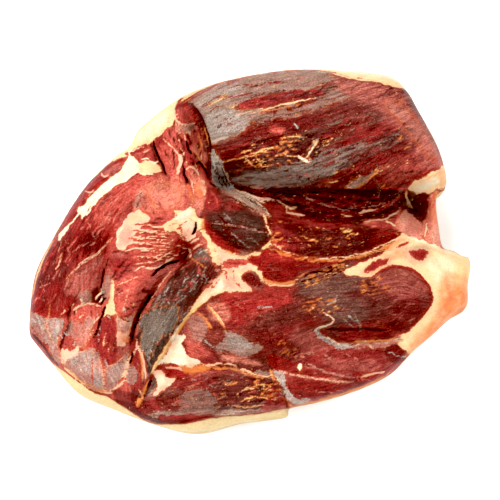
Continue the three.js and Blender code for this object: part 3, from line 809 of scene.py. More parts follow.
def paint_crevice(face):
    """The deep hollow under the topside, darkened with painted shade, with thin pale sinews across it."""
    # Painted shade: the near-black and maroon fill of the hollow, its black lines and the deep lines between
    # the sinews stand for the shade under the topside.
    face.patch("deep", [(228, 184), (262, 188), (300, 188), (340, 190), (400, 190), (412, 196), (398, 208),
                        (372, 218), (340, 220), (306, 214), (284, 204), (258, 198), (240, 192)], soft=4,
               rough=0.35, fibre=0.9)
    face.patch("maroon", [(300, 196), (340, 202), (380, 200), (400, 196), (384, 210), (350, 218), (312, 212)],
               soft=6, strength=0.75, streaky=0.8)
    face.line("deep", [(238, 185), (262, 190), (300, 190), (350, 191), (402, 191)], 4.0, ragged=1.5)
    face.line("black", [(244, 188), (262, 191), (300, 191), (350, 193)], 1.2, ragged=2.0)
    face.line("black", [(264, 199), (284, 202), (300, 210), (330, 217)], 0.8, ragged=1.5)
    # Painted highlight: a pale pink line along the topside's lower edge.
    face.line("blush", [(234, 179), (246, 185), (266, 188)], 1.1, strength=0.7, relief=0.4)
    face.line("pink", [(238, 190), (250, 195), (266, 199), (273, 201)], 1.3, relief=0.5)
    face.line("pink", [(262, 197), (276, 200), (286, 204)], 1.0, strength=0.8, relief=0.3)
    face.patch("red", [(256, 202), (272, 203), (286, 208), (300, 213), (296, 217), (276, 213), (262, 209)],
               soft=2.5, strength=0.9)
    face.patch("cream", [(284, 203), (290, 206), (297, 207), (295, 210), (287, 208)], soft=1.4, relief=0.8)
    face.line("pink", [(286, 208), (288, 213), (298, 214), (306, 216)], 1.2, strength=0.9, relief=0.5)
    face.line("blush", [(302, 195), (320, 203), (338, 208), (352, 211)], 1.2, strength=0.8, relief=0.4)
    face.line("pink", [(340, 214), (346, 216), (353, 216)], 0.8, relief=0.4)
    face.line("pink", [(358, 214), (366, 210), (380, 208), (394, 204)], 1.5, ragged=1.6, relief=0.6)
    face.line("blush", [(362, 208), (378, 205), (392, 201)], 0.8, ragged=1.6, strength=0.8)
    for path in ([(250, 190), (300, 200), (350, 204), (390, 202)], [(300, 192), (340, 198), (384, 197)],
                 [(310, 207), (344, 212), (376, 214)]):
        face.line("red", path, 1.0, strength=0.75, ragged=2)
    face.line("red", [(372, 212), (388, 206), (404, 194)], 2.6, strength=0.9)
    face.line("red", [(300, 219), (322, 224), (352, 225)], 2.6, strength=0.85)
    for path in ([(318, 193), (340, 196), (362, 196)], [(326, 203), (348, 205), (372, 203)],
                 [(290, 196), (304, 199), (316, 203)]):
        face.line("wine", path, 1.8, strength=0.85)
    face.patch("blush", [(220, 190), (230, 188), (242, 192), (252, 199), (263, 207), (270, 217), (262, 215),
                         (250, 209), (238, 202), (228, 197)], soft=2, strength=0.9, relief=0.8, fibre=0.4)
    for path in ([(224, 190), (238, 194), (250, 202), (262, 211)], [(232, 195), (244, 202), (256, 208)],
                 [(240, 192), (252, 199), (264, 208), (270, 216)], [(236, 189), (250, 194), (266, 204)]):
        face.line("ivory", path, 1.2, relief=0.4)
    for path in ([(234, 198), (246, 205), (258, 212)], [(246, 198), (258, 205), (266, 213)],
                 [(226, 194), (236, 200), (246, 208)], [(240, 196), (250, 199), (260, 206)]):
        face.line("deep", path, 0.7, strength=0.9)
    face.patch("red", [(228, 203), (238, 203), (243, 208), (232, 210), (224, 207)], soft=2.5, strength=0.85,
               ragged=2.4, relief=-0.8)
    face.line("maroon", [(224, 204), (234, 207), (244, 210)], 1.0, strength=0.9)
    face.patch("silver", [(210, 150), (215, 152), (222, 164), (229, 180), (233, 188), (216, 187), (211, 174)],
               soft=2, strength=0.95, fibre=0.8, rough=0.5, relief=0.8)
    for path in ([(212, 164), (217, 175), (222, 187)], [(218, 161), (224, 173), (230, 186)],
                 [(215, 163), (220, 174), (227, 187)]):
        face.line("black", path, 0.5, ragged=1.4)
    for path in ([(215, 155), (222, 168), (231, 186)], [(212, 166), (218, 178), (226, 187)],
                 [(211, 153), (214, 164), (220, 176)]):
        face.line("ivory", path, 0.8, relief=0.4)
    face.line("ivory", [(224, 188), (231, 190), (238, 194)], 1.2, strength=0.9)


def paint_tongue(face):
    """The small dark muscle at the middle and the fat round it."""
    face.patch("orange", [(201, 222), (206, 218), (210, 230), (222, 243), (236, 251), (232, 255), (218, 250),
                          (206, 240)], soft=2, strength=0.9)
    face.patch("blood", [(204, 216), (210, 214), (214, 230), (226, 241), (240, 249), (232, 253), (218, 247),
                         (208, 237), (204, 226)], soft=3)
    face.patch("umber", [(205, 216), (212, 212), (226, 211), (250, 213), (262, 216), (265, 225), (272, 235),
                         (266, 245), (254, 251), (238, 249), (226, 241), (214, 230), (209, 224)], soft=2.4,
               rough=0.5)
    face.patch("slate", [(208, 216), (226, 213), (248, 214), (260, 219), (264, 228), (262, 240), (244, 236),
                         (236, 226), (214, 222)], soft=5, strength=0.3, streaky=0.5)
    face.patch("maroon", [(210, 226), (226, 228), (234, 236), (240, 247), (228, 243), (216, 234)], soft=4,
               strength=0.8)
    face.patch("deep", [(208, 216), (250, 214), (264, 224), (268, 238), (250, 250), (222, 240)], soft=5,
               strength=0.42)
    face.line("blush", [(211, 223), (228, 225), (242, 227), (258, 231), (271, 235)], 0.8, strength=0.85,
              relief=0.5)
    face.line("silver", [(231, 232), (240, 241), (252, 249)], 1.0, strength=0.5)
    # Painted shade: a black line in a small crease.
    face.line("black", [(217, 214), (222, 219), (226, 224)], 1.2, strength=0.9, relief=-0.6)
    face.line("silver", [(222, 212), (228, 217), (233, 223)], 0.9, strength=0.6)
    face.line("cream", [(263, 214), (266, 222), (269, 230), (274, 235)], 1.8, relief=0.5)
    face.line("yellow", [(274, 235), (270, 243), (262, 250)], 2.4, relief=0.5)
    face.line("yellow", [(203, 229), (209, 240), (220, 249), (232, 254)], 1.4, relief=0.3)


def paint_strip(face):
    """The long dark muscle from the middle to the right end, and the red one below it."""
    face.patch("wine", [(272, 218), (330, 227), (360, 228), (400, 236), (372, 250), (330, 256), (296, 252),
                        (276, 236)], soft=5, strength=0.7, streaky=0.35, fleck=0.2)
    face.patch("maroon", [(300, 226), (340, 230), (390, 232), (370, 246), (330, 250), (304, 242)], soft=7,
               strength=0.6, streaky=0.6)
    face.patch("red", [(274, 215), (300, 219), (330, 224), (330, 229), (296, 228), (276, 226)], soft=4,
               strength=0.75, streaky=0.4)
    face.patch("scarlet", [(270, 239), (278, 235), (287, 240), (290, 248), (278, 249), (271, 245)], soft=4,
               strength=0.75, ragged=2.5)
    for path in ([(271, 238), (277, 241), (283, 240)], [(272, 243), (279, 246), (286, 245)],
                 [(268, 247), (275, 244), (282, 247)]):
        face.line("orange", path, 0.4, soft=2, strength=0.8, ragged=2)
    face.patch("red", [(272, 228), (290, 232), (304, 242), (300, 252), (286, 248), (284, 238), (272, 236)],
               soft=4, strength=0.9, fleck=0.4)
    face.patch("blood", [(376, 232), (392, 231), (402, 236), (384, 246), (366, 246)], soft=4, strength=0.8)
    face.patch("brown", [(290, 228), (320, 232), (346, 238), (340, 248), (310, 246)], soft=7, strength=0.6,
               streaky=0.5)
    face.patch("deep", [(280, 222), (330, 230), (396, 236), (372, 248), (330, 254), (298, 250)], soft=7,
               strength=0.4)
    for path in ([(300, 236), (306, 239), (314, 241)], [(290, 236), (298, 240)], [(342, 232), (352, 229)],
                 [(346, 236), (358, 233)]):
        face.line("yellow", path, 0.3, strength=0.85, ragged=1.6)
    face.patch("blood", [(250, 256), (270, 249), (294, 254), (328, 260), (344, 260), (314, 274), (298, 280),
                         (262, 281), (258, 268)], soft=3, strength=0.9, fleck=0.2)
    face.patch("maroon", [(254, 262), (280, 260), (330, 262), (314, 274), (298, 280), (262, 281)], soft=7,
               strength=0.45)
    face.patch("scarlet", [(254, 256), (272, 251), (296, 257), (290, 262), (272, 262)], soft=6, strength=0.4)
    face.line("pink", [(262, 250), (272, 244), (284, 251), (300, 256), (316, 258), (334, 258)], 0.3,
              relief=0.5)
    face.line("orange", [(268, 248), (280, 253), (300, 259), (330, 261)], 0.8, strength=0.6, ragged=2)
    face.line("orange", [(320, 260), (350, 259), (380, 249), (400, 239)], 1.2, strength=0.6, ragged=2)
    face.line("cream", [(326, 258), (350, 256), (374, 249), (392, 241), (406, 234)], 0.6, ragged=1.6,
              relief=0.5)
    face.line("orange", [(262, 278), (270, 282), (284, 283), (294, 281), (302, 274)], 2.0, strength=0.75)
    face.line("cream", [(261, 280), (268, 284), (282, 285), (292, 284), (300, 277), (308, 271)], 1.1,
              relief=0.5)
    face.patch("umber", [(292, 284), (304, 274), (322, 267), (352, 262), (340, 272), (318, 282)], soft=4,
               strength=0.9, fleck=1.0)
    # Painted shade: black lines in small cracks.
    face.line("black", [(304, 276), (316, 272), (330, 272)], 1.0, ragged=2.5)
    face.line("black", [(322, 268), (336, 266)], 0.8, ragged=2.5)


def paint_silverside(face):
    """The broad muscle of the lower half."""
    face.patch("scarlet", [(222, 290), (240, 284), (262, 282), (296, 284), (290, 300), (262, 308), (240, 318),
                           (224, 304)], soft=10, strength=0.5)
    face.patch("blood", [(214, 300), (226, 296), (246, 300), (244, 322), (228, 322)], soft=7, strength=0.6)
    face.patch("umber", [(292, 288), (330, 278), (362, 282), (388, 300), (384, 320), (340, 322), (312, 318),
                         (270, 330), (250, 326), (262, 314), (292, 304)], soft=10, strength=0.85, rough=0.5)
    # Painted sheen: the slate patches are dull grey-brown lean partly painted as sheen.
    face.patch("slate", [(300, 278), (340, 272), (366, 276), (340, 292), (304, 294)], soft=12, strength=0.5,
               streaky=0.6)
    face.patch("slate", [(322, 298), (352, 296), (366, 312), (346, 324), (324, 320)], soft=11, strength=0.45,
               streaky=0.3)
    face.patch("rose", [(372, 276), (404, 270), (420, 282), (426, 294), (412, 300), (388, 292)], soft=8,
               strength=0.5)
    face.patch("wine", [(400, 300), (430, 292), (431, 302), (418, 322), (396, 330), (384, 322)], soft=7,
               strength=0.85)
    face.patch("wine", [(250, 330), (272, 328), (296, 340), (280, 348), (258, 342)], soft=6, strength=0.8)
    face.patch("rose", [(296, 326), (316, 332), (330, 348), (350, 358), (376, 356), (372, 368), (340, 366),
                        (310, 352), (290, 338)], soft=8, strength=0.55)
    face.patch("salmon", [(210, 302), (227, 304), (229, 318), (218, 320), (208, 312)], soft=5, strength=0.5)
    face.patch("rose", [(182, 328), (192, 314), (202, 312), (209, 326), (202, 342), (188, 341)], soft=4,
               strength=0.8)
    # Painted sheen: the films and silver here are partly dry films and partly painted highlight.
    face.patch("film", [(190, 318), (202, 315), (209, 326), (204, 338), (192, 336)], soft=4, strength=0.6,
               streaky=0.3, rough=0.5)
    face.patch("coral", [(186, 340), (200, 342), (212, 350), (206, 356), (192, 354)], soft=4, strength=0.8)
    face.patch("brown", [(210, 328), (227, 327), (237, 344), (226, 352), (213, 350), (202, 342)], soft=3,
               strength=0.9)
    face.patch("film", [(226, 330), (237, 332), (250, 340), (262, 346), (252, 353), (240, 354), (228, 349),
                        (218, 350), (215, 346), (224, 338)], soft=3, strength=0.9, streaky=0.3, rough=0.5)
    face.patch("silver", [(228, 334), (240, 336), (252, 344), (240, 350), (228, 344)], soft=5, strength=0.6)
    face.line("silver", [(200, 335), (208, 341), (217, 348)], 1.2, strength=0.8)
    face.patch("salmon", [(218, 351), (230, 354), (250, 358), (262, 364), (244, 362), (226, 359)], soft=4,
               strength=0.75)
    face.line("silver", [(256, 307), (264, 306), (273, 306)], 1.4, strength=0.9)
    face.line("ivory", [(321, 311), (328, 315), (332, 319), (329, 324), (318, 327), (314, 330)], 1.3,
              relief=0.5)
    face.patch("silver", [(314, 328), (322, 334), (334, 341), (350, 343), (354, 347), (348, 352), (334, 346),
                          (320, 339)], soft=2, strength=0.85, relief=0.7, streaky=0.2)
    face.line("ivory", [(326, 336), (338, 343), (352, 346)], 1.1)
    face.patch("wine", [(328, 331), (345, 329), (382, 330), (390, 336), (372, 341), (352, 343), (338, 338)],
               soft=3, strength=0.95)
    face.patch("red", [(336, 331), (360, 330), (380, 333), (372, 339), (352, 340)], soft=4, strength=0.6)
    # Painted shade: a deep line in the fold.
    face.line("deep", [(324, 328), (344, 329), (364, 328.5), (388, 330)], 2.4, strength=0.9, relief=-1.2)
    face.patch("blush", [(350, 344), (358, 340), (366, 343), (376, 339), (384, 342), (396, 336), (402, 338),
                         (390, 345), (372, 346), (356, 346)], soft=1.6, ragged=3, strength=0.8, relief=0.7)
    for path in ([(352, 344), (362, 342), (372, 344)], [(374, 342), (384, 341), (398, 337)]):
        face.line("ivory", path, 0.8, ragged=2)
    face.line("orange", [(354, 341), (372, 341), (388, 340), (400, 335)], 1.4, strength=0.8)
    # Silver lines, partly painted highlight.
    for path in ([(346, 312), (350, 318), (356, 324)], [(352, 310), (356, 318), (360, 328)],
                 [(326, 304), (334, 300), (336, 292)], [(342, 318), (346, 322), (352, 326)]):
        face.line("silver", path, 1.1, strength=0.85)
    face.line("orange", [(208, 304), (217, 314), (226, 326)], 2.0, strength=0.95, relief=0.3)
    face.line("cream", [(210, 306), (218, 315), (225, 323)], 0.9, strength=0.9)
    face.line("orange", [(199, 312), (206, 320), (213, 327)], 1.1, strength=0.85)


def paint_flank(face):
    """The thin muscles along the lower right edge."""
    face.patch("blood", [(268, 352), (290, 360), (320, 370), (340, 374), (320, 376), (290, 372), (272, 366)],
               soft=3, strength=0.85)
    face.patch("blood", [(286, 376), (300, 376), (330, 380), (352, 382), (346, 388), (320, 396), (300, 400),
                         (288, 390)], soft=3, strength=0.85)
    face.patch("red", [(306, 356), (340, 348), (372, 350), (384, 360), (372, 372), (340, 372), (318, 366)],
               soft=5, strength=0.8)
    face.patch("maroon", [(286, 358), (340, 350), (390, 350), (380, 374), (330, 394), (290, 396)], soft=8,
               strength=0.3)
    face.patch("rose", [(320, 358), (346, 358), (372, 360), (380, 366), (366, 370), (336, 368)], soft=5,
               strength=0.5)
    face.line("blush", [(304, 361), (320, 368), (338, 374), (356, 376)], 1.3, strength=0.75)
    face.line("blush", [(273, 368), (290, 372), (307, 375), (326, 378), (347, 380), (367, 377)], 0.9,
              strength=0.85)
    face.line("pink", [(276, 369), (290, 372), (307, 375), (326, 378), (347, 380)], 0.1, ragged=1.6)
    face.patch("blood", [(352, 372), (380, 370), (384, 376), (362, 382)], soft=3, strength=0.85)
    face.patch("ivory", [(299, 362), (302, 366), (300, 370), (297, 366)], soft=1.2)
    face.patch("silver", [(273, 370), (279, 371), (284, 372), (285, 383), (290, 391), (297, 397), (310, 398),
                          (304, 403), (292, 402), (284, 394), (277, 382)], soft=1.6, relief=0.5)
    face.line("ivory", [(276, 373), (281, 384), (288, 394)], 1.2)
    face.line("orange", [(270, 368), (273, 376), (276, 384), (283, 397), (292, 406)], 2.0, strength=0.95)
    face.line("amber", [(290, 407), (320, 400), (345, 392), (370, 384), (390, 372)], 2.4, strength=0.7,
              ragged=1.6)
    face.line("orange", [(300, 404), (330, 397), (360, 387), (380, 378)], 1.6, strength=0.6)
    face.patch("wine", [(384, 346), (398, 342), (412, 348), (406, 358), (392, 362), (382, 354)], soft=2.5,
               strength=0.9)
    face.line("silver", [(386, 352), (396, 354), (406, 357)], 0.5, strength=0.8, ragged=1.6)
    face.line("pink", [(360, 376), (370, 372), (384, 370)], 1.6, strength=0.7)


def paint_heel(face):
    """The lower edge between the fat seam and the notch."""
    face.patch("brown", [(158, 384), (180, 374), (210, 372), (240, 372), (270, 376), (276, 392), (240, 404),
                         (200, 410), (166, 408)], soft=6, strength=0.8)
    face.patch("red", [(170, 376), (200, 372), (220, 376), (206, 386), (180, 388)], soft=7, strength=0.7)
    face.patch("maroon", [(160, 386), (210, 374), (272, 378), (280, 394), (240, 406), (170, 410)], soft=8,
               strength=0.4)
    # A dry film, partly painted as sheen.
    face.patch("film", [(182, 392), (196, 386), (206, 388), (214, 400), (210, 411), (186, 411)], soft=4,
               strength=0.45, streaky=0.8)
    face.patch("umber", [(220, 380), (250, 374), (276, 378), (284, 396), (250, 406), (222, 400)], soft=6,
               strength=0.7, streaky=0.4, fleck=0.25)
    face.line("pink", [(200, 362), (213, 363), (223, 362), (233, 363), (243, 368), (252, 370)], 0.9,
              ragged=1.6, relief=0.4)
    face.line("orange", [(204, 366), (222, 366), (236, 368), (250, 373), (262, 377)], 1.2, soft=2,
              strength=0.6, ragged=1.6)
    face.line("cream", [(238, 367), (252, 371), (264, 375), (274, 372)], 0.8, strength=0.85, relief=0.3)
    face.line("ash", [(190, 404), (190, 397), (195, 393), (201, 394), (204, 400), (201, 406), (195, 408)],
              1.2, strength=0.8)
    face.line("ash", [(183, 398), (186, 391), (194, 389), (204, 390), (210, 384)], 1.2, strength=0.8)
    face.line("yellow", [(188, 394), (192, 393), (193, 397)], 0.9, strength=0.8)
    face.line("ash", [(208, 388), (213, 398), (212, 408)], 1.1, strength=0.7)
    face.line("film", [(152, 411), (170, 412), (187, 411), (200, 411), (212, 411)], 1.4, strength=0.85)
    for path in ([(236, 392), (250, 386), (268, 386)], [(240, 399), (256, 395), (274, 397)],
                 [(232, 404), (250, 404), (264, 402)], [(244, 388), (256, 383), (264, 383)]):
        face.line("yellow", path, 0.4, strength=0.75, ragged=1.8)
        face.line("maroon", [(u, v + 2.2) for u, v in path], 1.4, strength=0.9, ragged=1.8)
    face.patch("blood", [(160, 413), (178, 412), (212, 412), (213, 415), (190, 421), (164, 422)], soft=2)
    face.patch("maroon", [(166, 418), (186, 418), (212, 413), (190, 421), (170, 422)], soft=3, strength=0.8)
    face.patch("blood", [(270, 384), (280, 392), (288, 404), (262, 407), (268, 396)], soft=4, strength=0.9)
    face.line("maroon", [(116, 398), (128, 404), (146, 415), (166, 421)], 5, strength=0.9)
    face.patch("wine", [(112, 390), (126, 388), (142, 394), (154, 404), (156, 412), (140, 412), (124, 402)],
               soft=5, strength=0.75)


def paint_seam(face):
    """The white fat of the middle and the seam that runs down from it."""
    fat = fat_surface(0.1)
    face.patch("cream", [(191, 311), (200, 296), (212, 283), (222, 271), (219, 261), (214, 252), (211, 243),
                         (217, 245), (224, 251), (232, 255), (248, 255), (256, 252), (262, 254), (252, 262),
                         (256, 266), (262, 271), (264, 282), (258, 275), (252, 271), (244, 273), (242, 279),
                         (248, 285), (252, 289), (240, 291), (228, 290), (214, 295), (203, 303), (193, 312)],
               soft=2.2, relief=0.6, **fat)
    face.patch("ivory", [(198, 303), (212, 286), (224, 276), (228, 282), (220, 290), (208, 296)],
               soft=5, **fat)
    face.patch("pink", [(216, 248), (226, 253), (236, 257), (250, 258), (262, 256), (254, 266), (240, 270),
                        (224, 268)], soft=5, strength=0.9)
    face.patch("pink", [(224, 276), (236, 274), (242, 280), (252, 289), (238, 291), (226, 290)], soft=5,
               strength=0.9)
    face.patch("blush", [(228, 278), (236, 276), (238, 284), (230, 288)], soft=6, strength=0.5)
    face.patch("blood", [(247, 258), (256, 254), (267, 252), (268, 272), (260, 270), (253, 265)], soft=2.5,
               ragged=2.2, strength=0.95)
    face.line("orange", [(236, 256), (248, 256), (260, 252)], 0.8, soft=2, strength=0.8)
    for stain in ([(222, 270), (232, 267), (237, 277), (230, 285), (222, 280)],
                  [(208, 246), (214, 250), (220, 262), (214, 266), (208, 256)],
                  [(238, 270), (248, 268), (254, 272), (244, 275)],
                  [(206, 286), (216, 278), (220, 284), (208, 294)]):
        face.patch("coral", stain, soft=6, strength=0.6, ragged=3)
    face.patch("slate", [(248, 270), (258, 272), (264, 280), (262, 288), (254, 290), (246, 286)], soft=6,
               strength=0.5, ragged=2.5)
    for path in ([(214, 272), (224, 268), (236, 271)], [(234, 256), (240, 259), (247, 256)],
                 [(222, 290), (228, 286), (236, 288)], [(208, 282), (214, 280), (220, 275)]):
        face.line("blush", path, 1.4, soft=2, strength=0.7, ragged=2)
    face.patch("coral", [(224, 261), (238, 259), (249, 261), (241, 266), (227, 268)], soft=1.6, strength=0.95)
    face.line("blood", [(226, 263), (238, 263), (246, 263)], 1.4, strength=0.8)
    face.patch("wine", [(242, 276), (250, 273), (258, 277), (262, 285), (254, 287), (246, 283)], soft=2,
               ragged=2.2)
    for path, width in (([(226, 269), (228, 276), (226, 283)], 0.9),
                        ([(232, 268), (235, 276), (240, 287)], 0.7),
                        ([(214, 260), (218, 269), (217, 276)], 0.8),
                        ([(220, 279), (214, 286), (208, 291)], 0.5),
                        ([(207, 238), (213, 248), (218, 254)], 0.5),
                        ([(226, 283), (234, 284), (243, 288)], 0.6)):
        face.line("coral", path, width, soft=2, strength=0.85, ragged=2.4)
    face.line("blood", [(190, 314), (180, 328), (168, 348), (156, 368), (150, 380)], 4.2, strength=0.9)
    face.line("yellow", [(205, 300), (191, 313), (182, 325), (171, 341), (160, 359), (152, 373)], 2.6,
              relief=0.5)
    face.line("orange", [(192, 312), (181, 328), (169, 347), (158, 364)], 0.9, strength=0.8)
    face.line("orange", [(150, 378), (146, 388), (141, 400)], 1.4, strength=0.8)
    face.patch("blood", [(161, 362), (186, 364), (192, 372), (176, 377), (160, 374)], soft=3, strength=0.9)
    face.patch("ivory", [(174, 334), (180, 333), (187, 337), (182, 343), (187, 352), (198, 358), (201, 362),
                         (192, 365), (176, 362), (165, 362), (160, 363), (167, 352), (173, 343)], soft=2,
               relief=0.7, **fat)
    face.patch("orange", [(180, 364), (196, 363), (208, 365), (206, 370), (194, 371), (184, 368)], soft=5,
               strength=0.5, ragged=2.5)
    face.line("pink", [(166, 366), (176, 366), (184, 369)], 1.6, strength=0.6)
    face.patch("pink", [(155, 370), (163, 369), (169, 377), (176, 376), (170, 384), (163, 388), (157, 393),
                        (154, 391), (160, 382)], soft=3.5, relief=0.5, **fat)
    face.patch("ivory", [(158, 374), (163, 373), (167, 379), (162, 385), (159, 386)], soft=3, **fat)
    for stain in ([(186, 352), (196, 357), (202, 363), (192, 365), (184, 360)],
                  [(158, 386), (166, 384), (162, 391)], [(172, 338), (178, 336), (176, 344), (170, 348)]):
        face.patch("coral", stain, soft=6, strength=0.6, ragged=3)
    face.patch("cream", [(162, 226), (168, 222), (177, 219), (175, 213), (183, 211), (192, 207), (196, 213),
                         (201, 219), (204, 221), (202, 227), (198, 233), (194, 238), (188, 241), (182, 240),
                         (177, 232), (168, 231)], soft=2, ragged=2.2, relief=0.9, **fat)
    face.patch("ivory", [(176, 216), (188, 210), (193, 214), (188, 220), (180, 222)], soft=4, **fat)
    face.patch("pink", [(182, 224), (196, 222), (196, 236), (187, 240)], soft=4, **fat)
    for path in ([(178, 226), (184, 224), (188, 220)], [(190, 224), (189, 230), (186, 236)],
                 [(170, 226), (176, 224), (182, 228)]):
        face.line("coral", path, 0.6, soft=2, strength=0.65, ragged=2)
    face.line("coral", [(176, 230), (181, 228), (182, 236), (188, 240)], 1.3, strength=0.8)
    face.patch("coral", [(184, 230), (192, 228), (194, 236), (187, 239)], soft=5, strength=0.5, ragged=2.5)
    # Painted shade: a black line in a small crease.
    face.line("black", [(196, 222), (196, 229), (192, 235)], 1.8, relief=-1.8)
    face.line("coral", [(186, 214), (192, 220), (198, 222)], 1.0, strength=0.6)
    # The hollow where the bone lay: dark red meat, with maroon and black painted shade in its depth.
    face.patch("blood", [(176, 243), (187, 241), (189, 253), (184, 263), (176, 256)], soft=3, strength=0.95,
               relief=-1.0, ragged=2.5)
    face.patch("maroon", [(181, 243), (187, 242), (188, 253), (184, 262), (180, 255)], soft=2, strength=0.8,
               ragged=2.5)
    face.line("black", [(186, 243), (187, 250), (186, 256), (182, 262)], 1.0, ragged=1.8, relief=-1)
    face.line("black", [(180, 246), (181, 252), (180, 258)], 0.3, ragged=1.8)
    for path in ([(178, 243), (180, 250), (178, 256)], [(183, 242), (184, 249), (183, 256)]):
        face.line("coral", path, 0.7, strength=0.7)
    face.line("pink", [(176, 247), (181, 246), (187, 248)], 0.4, strength=0.9, ragged=1.8)
    face.line("pink", [(175, 254), (180, 255), (186, 252)], 0.4, strength=0.9, ragged=1.8)
    face.patch("red", [(187, 242), (203, 235), (210, 240), (212, 246), (200, 249), (192, 254), (187, 250)],
               soft=2, strength=0.9)
    for path in ([(190, 243), (196, 240), (202, 238)], [(193, 250), (199, 245), (206, 243)],
                 [(188, 248), (190, 253), (190, 258)], [(204, 236), (209, 243), (213, 248)]):
        face.line("pink", path, 1.5, strength=0.9, relief=0.6)
    face.patch("slate", [(192, 257), (203, 248), (212, 250), (215, 257), (204, 262), (195, 261)], soft=2)
    face.line("silver", [(198, 254), (205, 251), (211, 254)], 1.3, strength=0.7)
    face.line("orange", [(190, 258), (200, 264), (208, 269)], 0.4, strength=0.95)
    for path in ([(186, 264), (198, 259), (212, 260)], [(180, 270), (192, 263), (206, 257)],
                 [(196, 262), (200, 270), (202, 280)]):
        face.line("coral", path, 0.3, strength=0.8, ragged=1.6)
    face.patch("cream", [(200, 228), (206, 233), (214, 246), (219, 256), (218, 266), (211, 258), (206, 246)],
               soft=2, relief=0.4, ragged=2.6, **fat)
    face.patch("salmon", [(197, 232), (202, 234), (210, 248), (212, 256), (206, 248), (199, 240)], soft=4,
               strength=0.75, ragged=3)
    for path in ([(199, 236), (204, 240), (207, 246)], [(207, 250), (211, 254), (212, 260)]):
        face.line("blood", path, 0.5, strength=0.9, ragged=2)


def paint_shank(face):
    """The grey dried muscle left of the seam, partly grey from painted sheen, between two clefts painted
    black as shade.
    """
    face.patch("umber", [(190, 256), (214, 262), (217, 274), (206, 292), (190, 312), (178, 308), (164, 306),
                         (168, 290)], soft=4, strength=0.85, rough=0.5)
    face.patch("char", [(176, 272), (200, 268), (208, 276), (198, 296), (184, 308), (166, 304), (166, 290)],
               soft=8, strength=0.55)
    face.patch("maroon", [(174, 270), (196, 262), (212, 266), (206, 290), (188, 306), (172, 302)], soft=10,
               strength=0.5)
    face.patch("char", [(141, 316), (147, 312), (165, 305), (179, 306), (182, 318), (172, 337), (163, 350),
                        (158, 362), (152, 376), (146, 364), (140, 347), (139, 332)], soft=3, strength=0.95,
               rough=0.55)
    # Painted sheen: the ash patches and lines are partly grey dried films and partly highlight.
    face.patch("ash", [(141, 318), (150, 312), (164, 309), (168, 316), (160, 334), (152, 350), (144, 348)],
               soft=5, strength=0.75, streaky=0.9)
    face.patch("ash", [(164, 308), (178, 309), (177, 320), (168, 330)], soft=5, strength=0.5, streaky=0.6)
    for path in ([(144, 320), (146, 332), (149, 344)], [(149, 316), (151, 326), (152, 336)],
                 [(146, 348), (149, 356), (153, 366)], [(158, 312), (157, 322), (155, 334)]):
        face.line("ash", path, 1.2, strength=0.8)
    for path in ([(170, 284), (180, 280), (192, 284)], [(176, 296), (186, 288), (196, 278)],
                 [(184, 270), (190, 280), (194, 292)], [(164, 298), (174, 300), (184, 296)],
                 [(196, 270), (202, 274), (208, 276)]):
        face.line("coral", path, 0.3, strength=0.65)
    # Painted shade: the wine band and black lines along the long cleft.
    face.line("wine", [(164, 276), (152, 292), (142, 309), (134, 328), (131, 346)], 5, strength=0.9,
              relief=-1)
    face.line("black", [(158, 287), (148, 300), (141, 312), (136, 326), (133, 342)], 2.2, ragged=1.6,
              relief=-2.4)
    face.line("black", [(134, 338), (136, 346), (134, 352)], 1.2, ragged=1.6, relief=-1)
    face.line("coral", [(183, 259), (168, 277), (157, 292), (147, 308), (141, 318)], 1.5, relief=0.5)
    face.line("pink", [(172, 270), (160, 286), (150, 302)], 0.9, strength=0.9, relief=0.4)
    face.line("coral", [(166, 283), (156, 297), (148, 311)], 1.1, strength=0.9)
    face.patch("red", [(134, 340), (142, 348), (148, 364), (148, 384), (140, 390), (132, 384), (128, 366),
                       (130, 350)], soft=3, strength=0.85)
    face.patch("film", [(130, 368), (136, 364), (140, 372), (136, 382), (130, 380)], soft=2.5, strength=0.85)
    face.line("pink", [(137, 336), (138, 346), (131, 360), (126, 378)], 1.5, relief=0.5)
    face.line("cream", [(135, 350), (129, 362), (124, 376)], 1.1, relief=0.4)
    face.line("black", [(134, 350), (133, 357), (131, 363)], 1.3, relief=-1)
    face.line("pink", [(138, 343), (143, 354), (146, 367), (147, 378)], 1.6, strength=0.9, relief=0.4)
    face.line("orange", [(141, 352), (144, 364), (144, 378)], 1.1, strength=0.7)
    # Painted shade: black and maroon lines in the cleft at the lower end.
    face.line("black", [(153, 376), (149, 386), (143, 394)], 2.2, relief=-1.2)
    face.line("maroon", [(150, 384), (144, 396), (136, 404)], 3.4, strength=0.9)
    face.patch("orange", [(138, 398), (142, 397), (143, 402), (139, 403)], soft=1.4, relief=0.8)
    face.line("pink", [(140, 388), (143, 392), (144, 398)], 1.1, strength=0.8)


